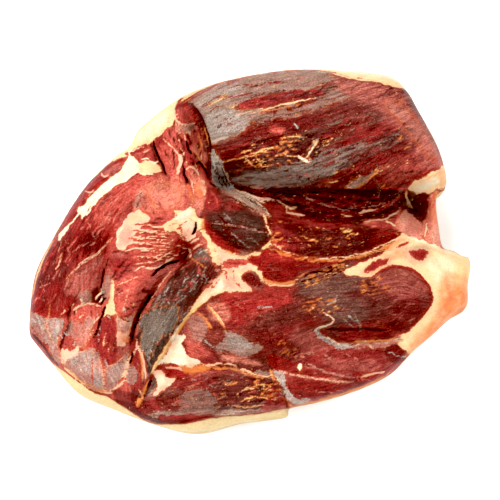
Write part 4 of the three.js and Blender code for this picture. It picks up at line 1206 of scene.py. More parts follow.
def paint_left(face):
    """The muscles and fat of the left half."""
    fat = fat_surface(0.12)
    face.patch("coral", [(92, 208), (110, 192), (128, 182), (150, 175), (160, 180), (150, 190), (134, 200),
                         (122, 214), (116, 232), (100, 232)], soft=9, strength=0.85)
    face.patch("blood", [(64, 246), (80, 226), (100, 222), (114, 232), (108, 250), (94, 262), (76, 266)],
               soft=12, strength=0.85)
    face.patch("maroon", [(78, 240), (92, 230), (106, 236), (102, 250), (88, 258)], soft=10, strength=0.7)
    face.patch("wine", [(50, 250), (62, 236), (72, 232), (70, 262), (64, 290), (44, 300), (32, 298),
                        (38, 270)], soft=9, strength=0.7)
    face.patch("blood", [(30, 290), (60, 282), (76, 294), (72, 312), (58, 318), (30, 312)], soft=6,
               strength=0.85)
    face.patch("maroon", [(40, 262), (60, 238), (92, 232), (110, 246), (96, 276), (66, 300), (34, 308)],
               soft=14, strength=0.4)
    face.patch("rose", [(66, 288), (86, 266), (104, 258), (100, 280), (84, 298)], soft=8, strength=0.7)
    face.patch("blood", [(76, 200), (90, 180), (104, 167), (118, 158), (122, 160), (112, 176), (96, 190),
                         (82, 203), (66, 226), (54, 238), (48, 238), (60, 216)], soft=2.5, strength=0.95)
    face.patch("rose", [(104, 170), (116, 163), (121, 165), (116, 173), (108, 176)], soft=3, strength=0.8)
    face.line("pink", [(100, 172), (103, 176), (108, 174)], 1.2, strength=0.8)
    face.line("pink", [(84, 190), (90, 192), (94, 189)], 1.0, strength=0.7)
    face.line("orange", [(112, 152), (100, 163), (88, 176), (78, 190)], 1.0, strength=0.6)
    face.patch("ivory", [(78, 210), (86, 202), (94, 192), (107, 180), (119, 171), (123, 162), (128, 155),
                         (135, 157), (139, 165), (140, 170), (134, 175), (126, 181), (111, 189), (99, 199),
                         (89, 210), (84, 217)], soft=2, relief=0.5, ragged=2, **fat)
    face.patch("cream", [(137, 165), (147, 161), (156, 165), (160, 172), (150, 174), (140, 173)], soft=2,
               ragged=2.2, relief=0.4, **fat)
    for path in ([(82, 208), (78, 212), (77, 217)], [(86, 210), (83, 216), (84, 220)],
                 [(90, 206), (89, 212), (86, 216)], [(140, 160), (146, 158), (150, 161)],
                 [(148, 160), (154, 163), (158, 160)], [(138, 172), (146, 175), (154, 174)],
                 [(128, 156), (127, 151), (131, 148)]):
        face.line("ivory", path, 1.2, ragged=1.6, relief=0.3)
    face.line("ivory", [(79, 213), (70, 224), (58, 236)], 1.0, ragged=1.4, relief=0.3)
    face.patch("ivory", [(58, 238), (62, 232), (67, 225), (69, 226), (66, 233), (61, 240)], soft=1.6, **fat)
    face.line("maroon", [(28, 330), (28, 312), (33, 276), (48, 244), (67, 209), (88, 180), (112, 156)], 3,
              soft=3, strength=0.5, taper=False)
    face.line("orange", [(52, 240), (43, 258), (36, 278), (32, 296)], 1.3, strength=0.9)
    face.line("cream", [(47, 250), (40, 266), (35, 282)], 0.6, strength=0.9)
    for path, width in (([(99, 229), (103, 222), (109, 216)], 0.5),
                        ([(97, 235), (101, 231), (105, 228)], 0.4), ([(92, 231), (94, 236), (96, 241)], 0.4),
                        ([(66, 240), (68, 247), (71, 255)], 0.6), ([(58, 254), (60, 248), (62, 242)], 0.4),
                        ([(57, 270), (61, 262), (64, 252)], 0.8),
                        ([(68, 279), (76, 270), (86, 262), (98, 254), (104, 247), (112, 238)], 0.8),
                        ([(80, 265), (88, 259), (98, 253)], 1.3), ([(79, 276), (84, 273), (91, 270)], 0.4),
                        ([(40, 288), (48, 284), (54, 282)], 0.6), ([(34, 302), (40, 298), (46, 300)], 0.4),
                        ([(51, 304), (50, 318), (52, 334), (60, 348), (66, 362), (69, 370)], 0.9),
                        ([(30, 327), (38, 338), (48, 351)], 0.9), ([(84, 246), (90, 242)], 0.4),
                        ([(72, 246), (78, 240)], 0.4), ([(40, 280), (44, 286), (46, 292)], 0.4),
                        ([(88, 222), (92, 228)], 0.4), ([(108, 206), (120, 196)], 0.4),
                        ([(112, 226), (116, 216), (124, 206)], 0.5), ([(76, 252), (80, 246)], 0.4),
                        ([(52, 266), (56, 260)], 0.4)):
        face.line("blush", path, 0.8 * width, strength=0.85, relief=0.2)
    for path, width in (([(68, 279), (76, 270), (86, 262), (98, 254), (104, 247), (112, 238)], 0.6),
                        ([(80, 265), (88, 259), (98, 253)], 1.3), ([(57, 270), (61, 262), (64, 252)], 0.4),
                        ([(51, 304), (50, 318), (52, 334), (60, 348), (66, 362), (69, 370)], 0.6)):
        face.line("pink", path, width, relief=0.3)
    face.patch("cream", [(114, 277), (117, 288), (116, 300), (117, 314), (110, 313), (103, 318), (107, 308),
                         (112, 296), (113, 286)], soft=1.8, relief=0.6, **fat)
    face.patch("film", [(119, 312), (128, 308), (135, 310), (134, 322), (130, 332), (121, 330), (118, 320)],
               soft=2.5, strength=0.85)
    face.patch("pink", [(119, 313), (127, 310), (134, 313), (132, 323), (125, 330), (119, 324)], soft=5,
               strength=0.55, ragged=2.5)
    face.line("ivory", [(124, 312), (130, 318), (133, 326)], 0.8)
    face.line("maroon", [(123, 316), (128, 320), (132, 320)], 1.2, strength=0.8)
    face.patch("peach", [(119, 332), (126, 327), (133, 330), (132, 340), (126, 344), (119, 341)], soft=4,
               strength=0.8, relief=0.5, ragged=3)
    face.patch("pink", [(122, 332), (127, 329), (131, 334), (126, 337)], soft=4, strength=0.8)
    face.patch("pink", [(118, 330), (121, 328), (122, 338), (127, 344), (121, 345), (117, 338)], soft=2,
               **fat)
    face.patch("maroon", [(92, 292), (100, 287), (106, 290), (106, 300), (98, 304), (92, 300)], soft=2.5,
               strength=0.9, relief=-0.8)
    face.patch("film", [(103, 284), (110, 276), (113, 284), (110, 298), (104, 300), (101, 294)], soft=2.5,
               strength=0.75)
    # Pale ridges with black painted shade just below each.
    for path in ([(96, 300), (100, 295), (104, 291)], [(100, 303), (103, 297), (106, 295)],
                 [(82, 298), (84, 303), (86, 306)]):
        face.line("ivory", path, 1.0, relief=0.5)
        face.line("black", [(u + 2, v + 2) for u, v in path], 1.2, relief=-0.8)
    face.patch("film", [(80, 294), (90, 290), (93, 298), (86, 304)], soft=3, strength=0.7)
    # Painted shade: the maroon and black lines in the cracks of the lower left.
    face.line("maroon", [(78, 300), (70, 314), (72, 322), (67, 332), (63, 346), (66, 358)], 2.6, relief=-1.4)
    face.line("black", [(71, 313), (73, 322), (69, 330)], 1.3, relief=-0.8)
    face.line("black", [(107, 305), (104, 314), (101, 326), (96, 337)], 1.7, relief=-1.6)
    face.step([(28, 311), (47, 318), (66, 318)], -0.8)
    # Painted sheen: the grey films, silver and ash at the lower left edge are partly dry films and partly
    # highlight where the face turns to the light.
    face.patch("film", [(29, 312), (38, 314), (47, 318), (66, 319), (64, 328), (60, 338), (56, 346),
                        (46, 342), (36, 332), (28, 326)], soft=1.6, strength=0.95, streaky=0.2, rough=0.5)
    face.patch("silver", [(53, 320), (65, 320), (62, 330), (56, 336), (53, 328)], soft=2.5, strength=0.9)
    face.patch("ash", [(32, 318), (46, 319), (50, 338), (38, 336)], soft=5, strength=0.75)
    for path in ([(36, 322), (42, 330), (47, 338)], [(30, 324), (36, 330), (40, 338)],
                 [(46, 320), (50, 330)]):
        face.line("red", path, 0.6, strength=0.85, ragged=1.5)
    for path in ([(36, 314), (42, 324), (46, 332)], [(32, 318), (38, 322)]):
        face.line("silver", path, 0.8)
    face.line("maroon", [(29, 331), (40, 341), (50, 354), (60, 366)], 3, strength=0.9)
    face.patch("rose", [(33, 320), (44, 330), (48, 340), (40, 336)], soft=4, strength=0.5)
    face.patch("film", [(49, 340), (57, 344), (64, 358), (60, 362), (52, 354)], soft=2.5, strength=0.85)
    face.patch("coral", [(72, 312), (80, 305), (92, 303), (104, 306), (103, 316), (94, 324), (84, 328),
                         (72, 322)], soft=2.5, strength=0.8)
    face.line("pink", [(74, 310), (82, 305), (92, 303), (103, 306)], 1.3, strength=0.9, relief=0.5)
    face.patch("film", [(73, 320), (84, 322), (93, 316), (96, 322), (88, 334), (76, 336), (70, 330)], soft=4,
               strength=0.75)
    face.patch("blush", [(76, 324), (88, 326), (92, 334), (88, 344), (78, 344)], soft=7, strength=0.6)
    face.line("pink", [(80, 318), (86, 314)], 1.2, strength=0.8)
    face.line("pink", [(104, 314), (92, 326), (84, 337), (78, 350)], 0.9, relief=0.5)
    face.patch("pink", [(65, 346), (74, 350), (82, 346), (80, 354), (72, 357), (66, 364), (63, 354)],
               soft=2.5, ragged=2, relief=0.4, **fat)
    # Painted sheen: these films and the silver over them are partly dry films and partly painted highlight.
    face.patch("film", [(67, 362), (76, 354), (86, 349), (96, 348), (103, 358), (105, 376), (105, 390),
                        (92, 387), (76, 375)], soft=2.5, strength=0.9, streaky=0.25, rough=0.5)
    face.patch("film", [(108, 364), (122, 360), (128, 350), (134, 352), (128, 368), (120, 380), (112, 390),
                        (107, 388)], soft=2.5, strength=0.85, streaky=0.25, rough=0.5)
    face.patch("red", [(103, 318), (110, 315), (117, 318), (119, 340), (118, 360), (109, 364), (101, 352),
                       (95, 344), (97, 338), (100, 330)], soft=2, strength=0.95)
    face.patch("scarlet", [(90, 340), (96, 334), (98, 344), (92, 346)], soft=2, strength=0.8)
    face.patch("silver", [(72, 358), (86, 352), (96, 354), (96, 372), (82, 372)], soft=6, strength=0.7)
    face.patch("silver", [(96, 368), (104, 366), (104, 386), (94, 384)], soft=5, strength=0.6)
    face.patch("silver", [(110, 368), (122, 362), (126, 366), (116, 382)], soft=4, strength=0.7)
    face.patch("rose", [(76, 366), (84, 372), (96, 384), (88, 384), (76, 374)], soft=5, strength=0.55)
    for path in ([(95, 350), (95, 366), (94, 386)], [(108, 362), (109, 374), (108, 388)]):
        face.line("coral", path, 0.9, strength=0.8)
    for path in ([(72, 360), (82, 351), (96, 349)], [(104, 362), (105, 374), (105, 388)],
                 [(48, 318), (50, 332), (57, 345)], [(109, 366), (118, 362), (128, 352)]):
        face.line("pink", path, 0.4, strength=0.7)
    face.line("orange", [(65, 366), (78, 377), (90, 384), (103, 390), (114, 391)], 2.0, strength=0.8,
              relief=0.5, ragged=1.6)
    face.line("cream", [(66, 367), (78, 378), (88, 384)], 1.6, strength=0.9)
    face.line("pink", [(103, 391), (112, 391), (120, 384), (128, 378)], 1.8, strength=0.9, relief=0.4)
    face.line("maroon", [(74, 377), (90, 389), (102, 393), (118, 404)], 2.2, strength=0.9)


def paint_upper_left(face):
    """The pale fat and red pieces between the left half and the topside."""
    fat = fat_surface(0.12)
    face.patch("red", [(162, 128), (176, 122), (196, 118), (208, 160), (208, 182), (190, 190), (176, 170),
                       (164, 150)], soft=3, strength=0.9)
    face.patch("cream", [(108, 160), (122, 144), (136, 124), (160, 102), (176, 94), (176, 104), (174, 118),
                         (168, 127), (160, 134), (150, 142), (138, 148), (128, 154)], soft=2, relief=0.4,
               **fat)
    face.patch("ivory", [(134, 136), (150, 120), (164, 110), (168, 116), (158, 128), (142, 140)], soft=6,
               strength=0.7)
    face.patch("red", [(124, 153), (133, 148), (143, 143), (147, 146), (138, 151), (130, 155)], soft=1.8)
    face.patch("coral", [(138, 152), (150, 145), (156, 147), (163, 156), (158, 164), (146, 163), (139, 160)],
               soft=2.2, strength=0.95)
    face.patch("red", [(142, 154), (150, 149), (157, 153), (154, 160), (146, 160)], soft=4, strength=0.7)
    face.line("pink", [(142, 152), (150, 148), (156, 150)], 1.0, strength=0.8)
    face.line("pink", [(131, 150), (137, 147), (143, 146)], 0.6, strength=0.8)
    face.patch("red", [(174, 103), (182, 100), (190, 101), (196, 112), (199, 122), (190, 125), (178, 123),
                       (174, 114)], soft=2.2, relief=1.5)
    face.patch("coral", [(176, 108), (184, 106), (192, 120), (184, 123), (177, 118)], soft=5, strength=0.6)
    face.patch("blood", [(180, 101), (190, 102), (198, 116), (200, 124), (193, 118), (186, 106)], soft=4,
               strength=0.7)
    face.line("pink", [(173, 106), (174, 114), (178, 121), (186, 124), (195, 121)], 1.2, strength=0.8)
    face.patch("blush", [(174, 124), (186, 126), (196, 122), (193, 130), (184, 134), (175, 131)], soft=3,
               strength=0.75, ragged=3)
    for path in ([(174, 122), (182, 126), (192, 125)], [(178, 128), (186, 129), (192, 132)],
                 [(186, 124), (188, 130), (192, 136)]):
        face.line("pink", path, 0.7, ragged=1.5)
    # Painted shade: the maroon strip and black line in the crease against the topside.
    face.patch("maroon", [(186, 101), (192, 103), (201, 115), (207, 130), (211, 150), (211, 178), (207, 178),
                          (206, 152), (203, 134), (197, 117)], soft=2, strength=0.95, relief=-1.2)
    face.line("black", [(190, 101), (199, 112), (206, 128), (210, 148), (211, 176)], 1.0, relief=-0.6)
    face.patch("coral", [(193, 128), (200, 134), (204, 148), (206, 164), (201, 162), (194, 152), (190, 138)],
               soft=3, strength=0.8, relief=1.0)
    face.patch("red", [(196, 128), (202, 136), (205, 150), (200, 144)], soft=3, strength=0.6)
    face.patch("salmon", [(191, 148), (200, 142), (205, 152), (206, 163), (198, 161)], soft=4, strength=0.5)
    face.line("coral", [(197, 130), (201, 140), (200, 150), (203, 160)], 1.6, strength=0.85)
    face.line("orange", [(198, 134), (201, 143), (200, 150)], 0.6, strength=0.8)
    face.line("orange", [(193, 150), (197, 154), (200, 161), (206, 168)], 0.6, strength=0.8)
    face.line("orange", [(203, 122), (206, 132), (208, 142)], 0.5, strength=0.8)
    face.patch("coral", [(163, 130), (172, 127), (180, 136), (184, 146), (178, 152), (168, 144)], soft=2.5,
               strength=0.85)
    face.patch("coral", [(160, 144), (172, 148), (180, 160), (178, 172), (170, 176), (163, 160)], soft=2.2,
               strength=0.9)
    face.line("pink", [(162, 137), (169, 144), (176, 151), (180, 157)], 0.9, relief=0.4)
    face.line("coral", [(182, 132), (186, 140), (191, 146)], 1.4, strength=0.9)
    # Painted shade: black and maroon lines in the clefts between the pieces.
    face.line("black", [(152, 139), (154, 147), (160, 160), (169, 180)], 1.4, relief=-2.2)
    face.line("maroon", [(149, 140), (152, 150), (158, 164), (166, 180)], 2.4, strength=0.8)
    face.line("black", [(186, 140), (188, 147), (192, 154)], 1.6, relief=-2)
    face.line("maroon", [(183, 150), (184, 160), (183, 168)], 2.4, strength=0.9, relief=-1)
    face.line("black", [(184, 167), (184, 174), (188, 183)], 1.6, relief=-2)
    face.line("black", [(190, 163), (196, 164), (200, 162), (204, 168), (208, 177)], 1.2, relief=-1.6)
    face.patch("pink", [(179, 154), (182, 156), (182, 166), (178, 174), (176, 170), (178, 162)], soft=1.5,
               relief=0.8, **fat)
    face.patch("coral", [(186, 168), (196, 168), (204, 176), (207, 186), (200, 192), (190, 186)], soft=2.5,
               strength=0.85)
    face.patch("salmon", [(188, 172), (198, 172), (205, 184), (200, 192), (192, 188)], soft=5, strength=0.7)
    face.line("pink", [(185, 170), (190, 167), (196, 170), (200, 177)], 1.1, strength=0.9)
    face.line("pink", [(188, 176), (192, 184), (194, 194)], 0.7, strength=0.8)
    face.line("orange", [(187, 184), (190, 193), (194, 202)], 1.2, strength=0.7)
    face.patch("peach", [(197, 184), (202, 181), (204, 188), (203, 196), (199, 197), (195, 190)], soft=5,
               strength=0.4, ragged=2.5)
    face.patch("pink", [(201, 181), (205, 183), (206, 190), (204, 196), (202, 190)], soft=2, ragged=2.5,
               strength=0.9, **fat)
    face.line("ivory", [(202, 186), (204, 192)], 1.4, strength=0.8)
    face.patch("red", [(208, 186), (216, 190), (222, 204), (214, 211), (204, 208), (206, 198)], soft=2,
               strength=0.95)
    face.line("coral", [(210, 190), (216, 198), (218, 206)], 1.4, strength=0.8)
    # Painted shade: a black line where the pieces meet the hollow.
    face.line("black", [(208, 182), (216, 186), (224, 186), (232, 188)], 1.2, strength=0.9, relief=-1)


def paint_right_end(face):
    """The pale fat of the right end and the torn membrane above it."""
    fat = fat_surface(0.1)
    face.patch("cream", [(398, 236), (404, 232), (419, 238), (428, 241), (439, 246), (448, 247), (460, 248),
                         (474, 254), (478, 266), (475, 285), (473, 310), (452, 326), (436, 341), (416, 356),
                         (402, 348), (396, 340), (409, 329), (418, 320), (425, 311), (431, 302), (431, 293),
                         (427, 284), (420, 276), (413, 269), (398, 265), (382, 268), (370, 277), (354, 276),
                         (342, 272), (354, 265), (376, 257), (388, 248)], soft=2, relief=0.4, **fat)
    face.patch("ivory", [(426, 262), (446, 256), (458, 264), (448, 282), (438, 286), (432, 276)], soft=9,
               strength=0.5)
    face.line("ivory", [(405, 234), (419, 240), (430, 243), (440, 249), (452, 253), (464, 258)], 2.5, soft=3,
              strength=0.9)
    face.patch("yellow", [(450, 252), (470, 257), (476, 268), (470, 288), (458, 282), (452, 266)], soft=7,
               strength=0.4)
    face.patch("orange", [(440, 276), (456, 274), (480, 286), (476, 316), (452, 330), (430, 344),
                          (408, 352), (414, 334), (434, 314)], soft=8, strength=0.7)
    face.patch("peach", [(446, 282), (456, 284), (468, 290), (478, 294), (474, 312), (452, 326), (434, 338),
                         (420, 344), (430, 324), (442, 306)], soft=8, strength=0.75)
    face.patch("coral", [(447, 284), (452, 290), (456, 300), (446, 310), (440, 318), (436, 314), (444, 300)],
               soft=7, strength=0.35)
    face.line("coral", [(446, 282), (448, 290), (449, 298), (442, 308), (436, 316)], 1.8, soft=3,
              strength=0.4)
    face.line("coral", [(449, 298), (456, 294), (462, 290)], 1.4, soft=2, strength=0.35)
    face.line("amber", [(471, 296), (466, 308), (450, 321), (434, 336), (418, 348)], 3, soft=3, strength=0.6)
    face.line("orange", [(386, 250), (398, 242), (406, 238)], 3, soft=3, strength=0.7)
    face.patch("peach", [(384, 254), (394, 250), (406, 250), (404, 257), (392, 259), (384, 259)], soft=5,
               strength=0.55)
    face.patch("film", [(402, 250), (410, 246), (426, 247), (428, 256), (420, 263), (408, 262)], soft=5,
               strength=0.4)
    face.patch("rose", [(404, 251), (412, 246), (428, 245), (431, 255), (422, 264), (410, 263)], soft=6,
               strength=0.6, ragged=2.5)
    face.patch("red", [(409, 252), (416, 250), (427, 250), (428, 255), (421, 260), (412, 259)], soft=2.5,
               strength=0.9, ragged=2.2)
    face.patch("blood", [(413, 254), (421, 252), (426, 254), (420, 258)], soft=3, strength=0.8)
    face.patch("coral", [(390, 248), (398, 243), (410, 240), (408, 247), (396, 252)], soft=5, strength=0.6)
    face.patch("red", [(394, 247), (402, 243), (410, 242), (404, 246)], soft=3, strength=0.75)
    face.patch("coral", [(360, 272), (370, 265), (382, 259), (392, 257), (384, 265), (372, 272), (364, 275)],
               soft=5, strength=0.55)
    face.patch("rose", [(358, 272), (368, 262), (380, 257), (393, 257), (386, 267), (372, 274)], soft=6,
               strength=0.6, ragged=2.5)
    face.patch("red", [(363, 269), (370, 264), (380, 259), (389, 259), (382, 265), (372, 270), (365, 272)],
               soft=2.4, ragged=2.2)
    face.line("blood", [(368, 278), (382, 270), (394, 267.5), (405, 267.5), (413, 271), (420, 277),
                        (427, 285), (430, 294), (430, 302), (424, 311), (416, 321), (408, 328)], 2.2,
              strength=0.9)
    face.patch("coral", [(363, 223), (370, 220), (378, 219), (388, 220), (397, 212), (403, 208), (400, 222),
                         (392, 229), (374, 228)], soft=2, ragged=2.5, relief=0.5)
    face.patch("red", [(378, 222), (390, 222), (398, 214), (396, 224), (388, 230), (376, 229)], soft=2.5,
               strength=0.8)
    face.line("cream", [(386, 221), (392, 224), (396, 226)], 1.6, strength=0.9, relief=0.5)
    face.line("pink", [(390, 216), (396, 213), (401, 210)], 1.4, strength=0.9, relief=0.5)
    face.line("pink", [(364, 223), (374, 220), (386, 219), (394, 214)], 0.9, strength=0.8, relief=0.4)
    face.patch("salmon", [(396, 224), (403, 213), (411, 210), (418, 216), (423, 222), (423, 238), (412, 236),
                          (399, 231)], soft=2.5, strength=0.95)
    face.patch("blush", [(398, 222), (403, 213), (411, 209), (416, 217), (421, 222), (421, 236), (410, 236),
                         (399, 231)], soft=3, strength=0.75, fibre=0.2)
    face.patch("pink", [(401, 219), (407, 211), (411, 214), (408, 221), (402, 226)], soft=4, strength=0.6)
    face.patch("rose", [(406, 226), (416, 222), (421, 232), (410, 235)], soft=4, strength=0.55)
    face.patch("salmon", [(424, 222), (428, 208), (432, 194), (440, 190), (444, 214), (448, 248), (436, 244),
                          (424, 239)], soft=2.5, fibre=0.3)
    face.patch("peach", [(432, 206), (438, 198), (442, 206), (445, 230), (438, 226), (433, 216)], soft=5,
               strength=0.55)
    face.patch("blush", [(430, 222), (435, 210), (442, 206), (446, 244), (436, 243), (429, 240)], soft=4,
               strength=0.6)
    face.patch("pink", [(434, 230), (438, 224), (443, 230), (445, 244), (436, 243)], soft=4, strength=0.6)
    face.patch("coral", [(426, 222), (430, 212), (433, 218), (430, 232), (426, 234)], soft=4, strength=0.6)
    face.patch("maroon", [(410, 210), (414, 200), (422, 192), (432, 194), (431, 206), (428, 216), (424, 222),
                          (416, 216)], soft=2, strength=0.95)
    face.patch("brown", [(414, 208), (420, 204), (428, 208), (427, 218), (420, 219)], soft=4, strength=0.75)
    for path in ([(428, 196), (432, 202), (431, 210)], [(434, 192), (436, 200), (434, 208)]):
        face.line("coral", path, 1.8, strength=0.85)
    face.line("orange", [(437, 190), (438, 198), (440, 206)], 1.4, strength=0.9)
    face.line("ivory", [(433, 234), (434, 240), (434, 245)], 1.3, strength=0.9)
    face.line("ivory", [(424, 238), (427, 230), (429, 222)], 0.9, strength=0.8)
    face.line("orange", [(408, 190), (408.5, 196), (411, 202), (416, 208)], 1.6, relief=1)
    face.line("ivory", [(408.5, 191), (409, 196), (412, 202), (415, 206)], 0.7, strength=0.95)


def paint_lip(face):
    """The rind that shows below the meat along the lower left edge."""
    face.patch("rind", [(52, 364), (65, 371.5), (74, 377), (96, 392), (109, 396), (127, 408), (147, 421),
                        (165, 423.5), (191, 421.5), (214, 416.5), (260, 412.5), (292, 408), (294, 430),
                        (240, 436), (199, 446), (150, 438), (100, 418), (60, 392), (44, 368)], soft=1.6,
               ragged=0.8, fibre=0, fleck=0, rough=0.5)
    face.patch("cream", [(52, 364), (76, 379), (98, 395), (128, 411), (150, 423), (146, 428), (110, 412),
                         (76, 396), (50, 376)], soft=5, strength=0.8, ragged=0.5)
    face.patch("skin", [(160, 430), (200, 429), (246, 421), (290, 414), (290, 426), (200, 442), (160, 434)],
               soft=6, strength=0.4, ragged=0.5)
    face.line("orange", [(58, 380), (80, 396), (106, 410), (134, 422)], 2, soft=4, strength=0.3)
    face.line("ivory", [(170, 427), (200, 430), (236, 423), (262, 419)], 2, soft=3, strength=0.5)
    face.line("brown", [(96, 392), (109, 395.5), (127, 407.5), (147, 420.5), (165, 423), (191, 421),
                        (214, 416), (250, 413), (287, 409)], 1.2, strength=0.6, relief=-0.5)


def paint_striated(face):
    """The striped muscle at the middle left, with its pale end and the gap under it."""
    fat = fat_surface(0.2)
    face.patch("coral", [(134, 190), (150, 180), (166, 174), (186, 182), (192, 200), (180, 214), (160, 222),
                         (144, 216), (136, 204)], soft=7, strength=0.8)
    face.patch("salmon", [(138, 192), (156, 180), (176, 178), (186, 190), (180, 206), (158, 212), (142, 206)],
               soft=9, strength=0.75)
    face.patch("blush", [(150, 190), (164, 184), (178, 190), (176, 204), (160, 208)], soft=8, strength=0.35)
    for path in ([(171, 188), (175, 190), (172, 193), (177, 196), (173, 200)],
                 [(168, 184), (166, 190), (169, 194)]):
        face.line("orange", path, 0.9, strength=0.85)
    face.line("cream", [(172, 190), (175, 194), (174, 199)], 0.6, strength=0.8)
    face.line("red", [(158, 200), (162, 208), (167, 216)], 1.6, strength=0.8)
    face.line("red", [(143, 192), (150, 200), (160, 206)], 1.2, strength=0.6)
    face.patch("film", [(133, 206), (138, 195), (142, 191), (142, 203), (138, 210)], soft=2, strength=0.8)
    face.line("maroon", [(142, 192), (140, 200), (136, 208)], 1.4, strength=0.9)
    face.line("maroon", [(143, 194), (146, 204), (146, 210)], 1.2, strength=0.7)
    face.patch("red", [(128, 226), (150, 222), (178, 228), (182, 246), (170, 258), (150, 266), (132, 264),
                       (124, 250)], soft=3, strength=0.9)
    face.patch("coral", [(130, 228), (154, 224), (176, 230), (176, 246), (156, 258), (134, 258)], soft=5,
               strength=0.85)
    for k in range(11):
        v = 226 + 3.2 * k
        lift = 2 if k % 2 else 0
        bend = [(138, v + 1), (148, v - 1 + lift), (160, v + 1), (175 - lift, v + 2.5)]
        face.line("wine", [(u, w + 1.6) for u, w in bend], 0.9, strength=0.75, ragged=1.6)
        face.line("pink", bend, 0.2, strength=0.9, ragged=1.6, relief=0.3)
    face.patch("pink", [(117, 245), (119, 232), (125, 220), (132, 213), (143, 212), (150, 219), (143, 223),
                        (141, 230), (134, 236), (133, 245), (124, 249)], soft=2.5, ragged=2.6, relief=0.7,
               **fat)
    face.patch("blush", [(119, 244), (121, 231), (127, 223), (133, 228), (130, 244)], soft=6, strength=0.6)
    face.patch("cream", [(128, 220), (136, 214), (144, 213), (147, 218), (138, 221), (131, 225)], soft=3,
               strength=0.7)
    face.line("ivory", [(118, 243), (119, 234), (124, 225)], 1.0, soft=2, strength=0.8)
    face.patch("coral", [(124, 234), (131, 230), (133, 240), (127, 245)], soft=7, strength=0.5, ragged=3)
    for path in ([(131, 231), (136, 230), (143, 231)], [(129, 239), (135, 238), (142, 240)],
                 [(135, 224), (140, 224), (146, 226)], [(127, 247), (132, 246), (137, 247)]):
        face.line("coral", path, 0.8, strength=0.85, ragged=1.6)
    for path in ([(131, 237), (139, 238), (146, 240)], [(130, 243), (137, 243), (145, 244)],
                 [(138, 229), (145, 230), (153, 233)], [(149, 224), (155, 227), (162, 226)],
                 [(126, 251), (138, 248), (152, 249)]):
        face.line("pink", path, 1.0, strength=0.9, relief=0.3)
    face.patch("coral", [(122, 276), (134, 270), (150, 268), (158, 270), (150, 284), (142, 298), (134, 314),
                         (122, 318), (117, 298)], soft=4, strength=0.85)
    face.patch("red", [(118, 258), (132, 262), (134, 270), (124, 278), (116, 276)], soft=4, strength=0.8)
    face.line("pink", [(136, 271), (142, 267), (150, 268), (160, 267), (172, 259), (181, 254)], 1.2,
              relief=0.6)
    face.line("pink", [(134, 264), (144, 263), (156, 261), (168, 254), (176, 250)], 0.6, strength=0.8)
    face.line("pink", [(118, 286), (130, 280), (142, 276)], 0.5, strength=0.8, relief=0.3)
    face.line("blush", [(118, 294), (130, 290), (140, 287)], 0.5, strength=0.7)
    face.line("pink", [(122, 314), (128, 300), (130, 290)], 0.5, strength=0.6)
    # Painted shade: black and maroon lines in the gap under the stripes and in the crease at the left.
    face.line("black", [(182, 260), (170, 263), (160, 269), (152, 276)], 1.8, relief=-2)
    face.line("black", [(109, 258), (106, 268), (103, 280), (102, 288)], 1.0, relief=-1.2)
    face.line("maroon", [(130, 258), (124, 263), (117, 271), (112, 280)], 1.8, strength=0.9, relief=-1)
    face.line("maroon", [(132, 264), (126, 270), (120, 280)], 1.4, strength=0.8, relief=-0.6)


def paint_threads(face):
    """Short threads of sinew, fat and dried meat strewn over the muscles."""
    for field, colour, *measures in THREADS:
        face.scatter(colour, THREAD_FIELDS[field], *measures)


def paint_foot(face):
    """The ragged line of fat where the meat's side meets the rind."""
    at = face.edge < 5 * FOOT_WIDTH
    u, v = face.u[at], face.v[at]
    depth = FOOT_WIDTH * (1 + 1.1 * layered(u / 9, v / 9, FOOT_FAT_SEED)) - face.edge[at]
    face.lay(at, depth, 0.6, 1.0, "cream", RIND_ROUGH, 0, 0, 0, least=0.8)
    depth = FOOT_WIDTH * (0.5 + 1.2 * layered(u / 14, v / 14, FOOT_SKIN_SEED)) - face.edge[at]
    face.lay(at, depth, 0.6, 0.7, "skin", RIND_ROUGH, 0, 0, 0, least=0.8)


def underside(face, rim_order, rim_points, middle):
    """Rings of points from the rim down to the table."""
    rings = []
    angles = face.angle[rim_order[:, 0], rim_order[:, 1]][::2]
    rims = rim_points[::2]
    for k in range(1, RIND_RINGS + 1):
        slope = k / RIND_RINGS * math.pi / 2
        swell = math.cos(slope) ** (2 / RIND_FULLNESS)
        drop = math.sin(slope) ** (2 / RIND_FULLNESS)
        radius = REST_SHARE + (1 - REST_SHARE) * swell
        ring = np.empty_like(rims)
        ring[:, :2] = mix(middle, rims[:, :2], radius)
        ring[:, 2] = rims[:, 2] * (1 - drop)
        bumps = RIND_RELIEF * layered(angles * 14, np.full(angles.shape, k * 0.9), RIND_SEED)
        bumps = bumps * math.sin(2 * slope)
        ring[:, 2] = np.maximum(0, ring[:, 2] + bumps)
        rings.append(ring)
    return rings


def painted_face():
    """The face with its paint, and its points in millimetres."""
    face = Face()
    heights = face.form()
    face.ground()
    for paint in (paint_topside, paint_upper_left, paint_left, paint_striated, paint_crevice, paint_tongue,
                  paint_strip, paint_silverside, paint_flank, paint_heel, paint_shank, paint_seam,
                  paint_right_end, paint_lip, paint_threads, paint_foot):
        paint(face)
    heights = heights + face.fine * smooth(face.edge / RELIEF_FADE)
    return face, place(face.u, face.v, heights)


def rim_of_grid(n):
    """The grid's outermost points in order round the rim, as pairs of places in the grid."""
    along = np.arange(n)
    return np.concatenate([
        np.stack([along, np.zeros(n, int)], -1), np.stack([np.full(n, n), along], -1),
        np.stack([n - along, np.full(n, n)], -1), np.stack([np.zeros(n, int), n - along], -1)])


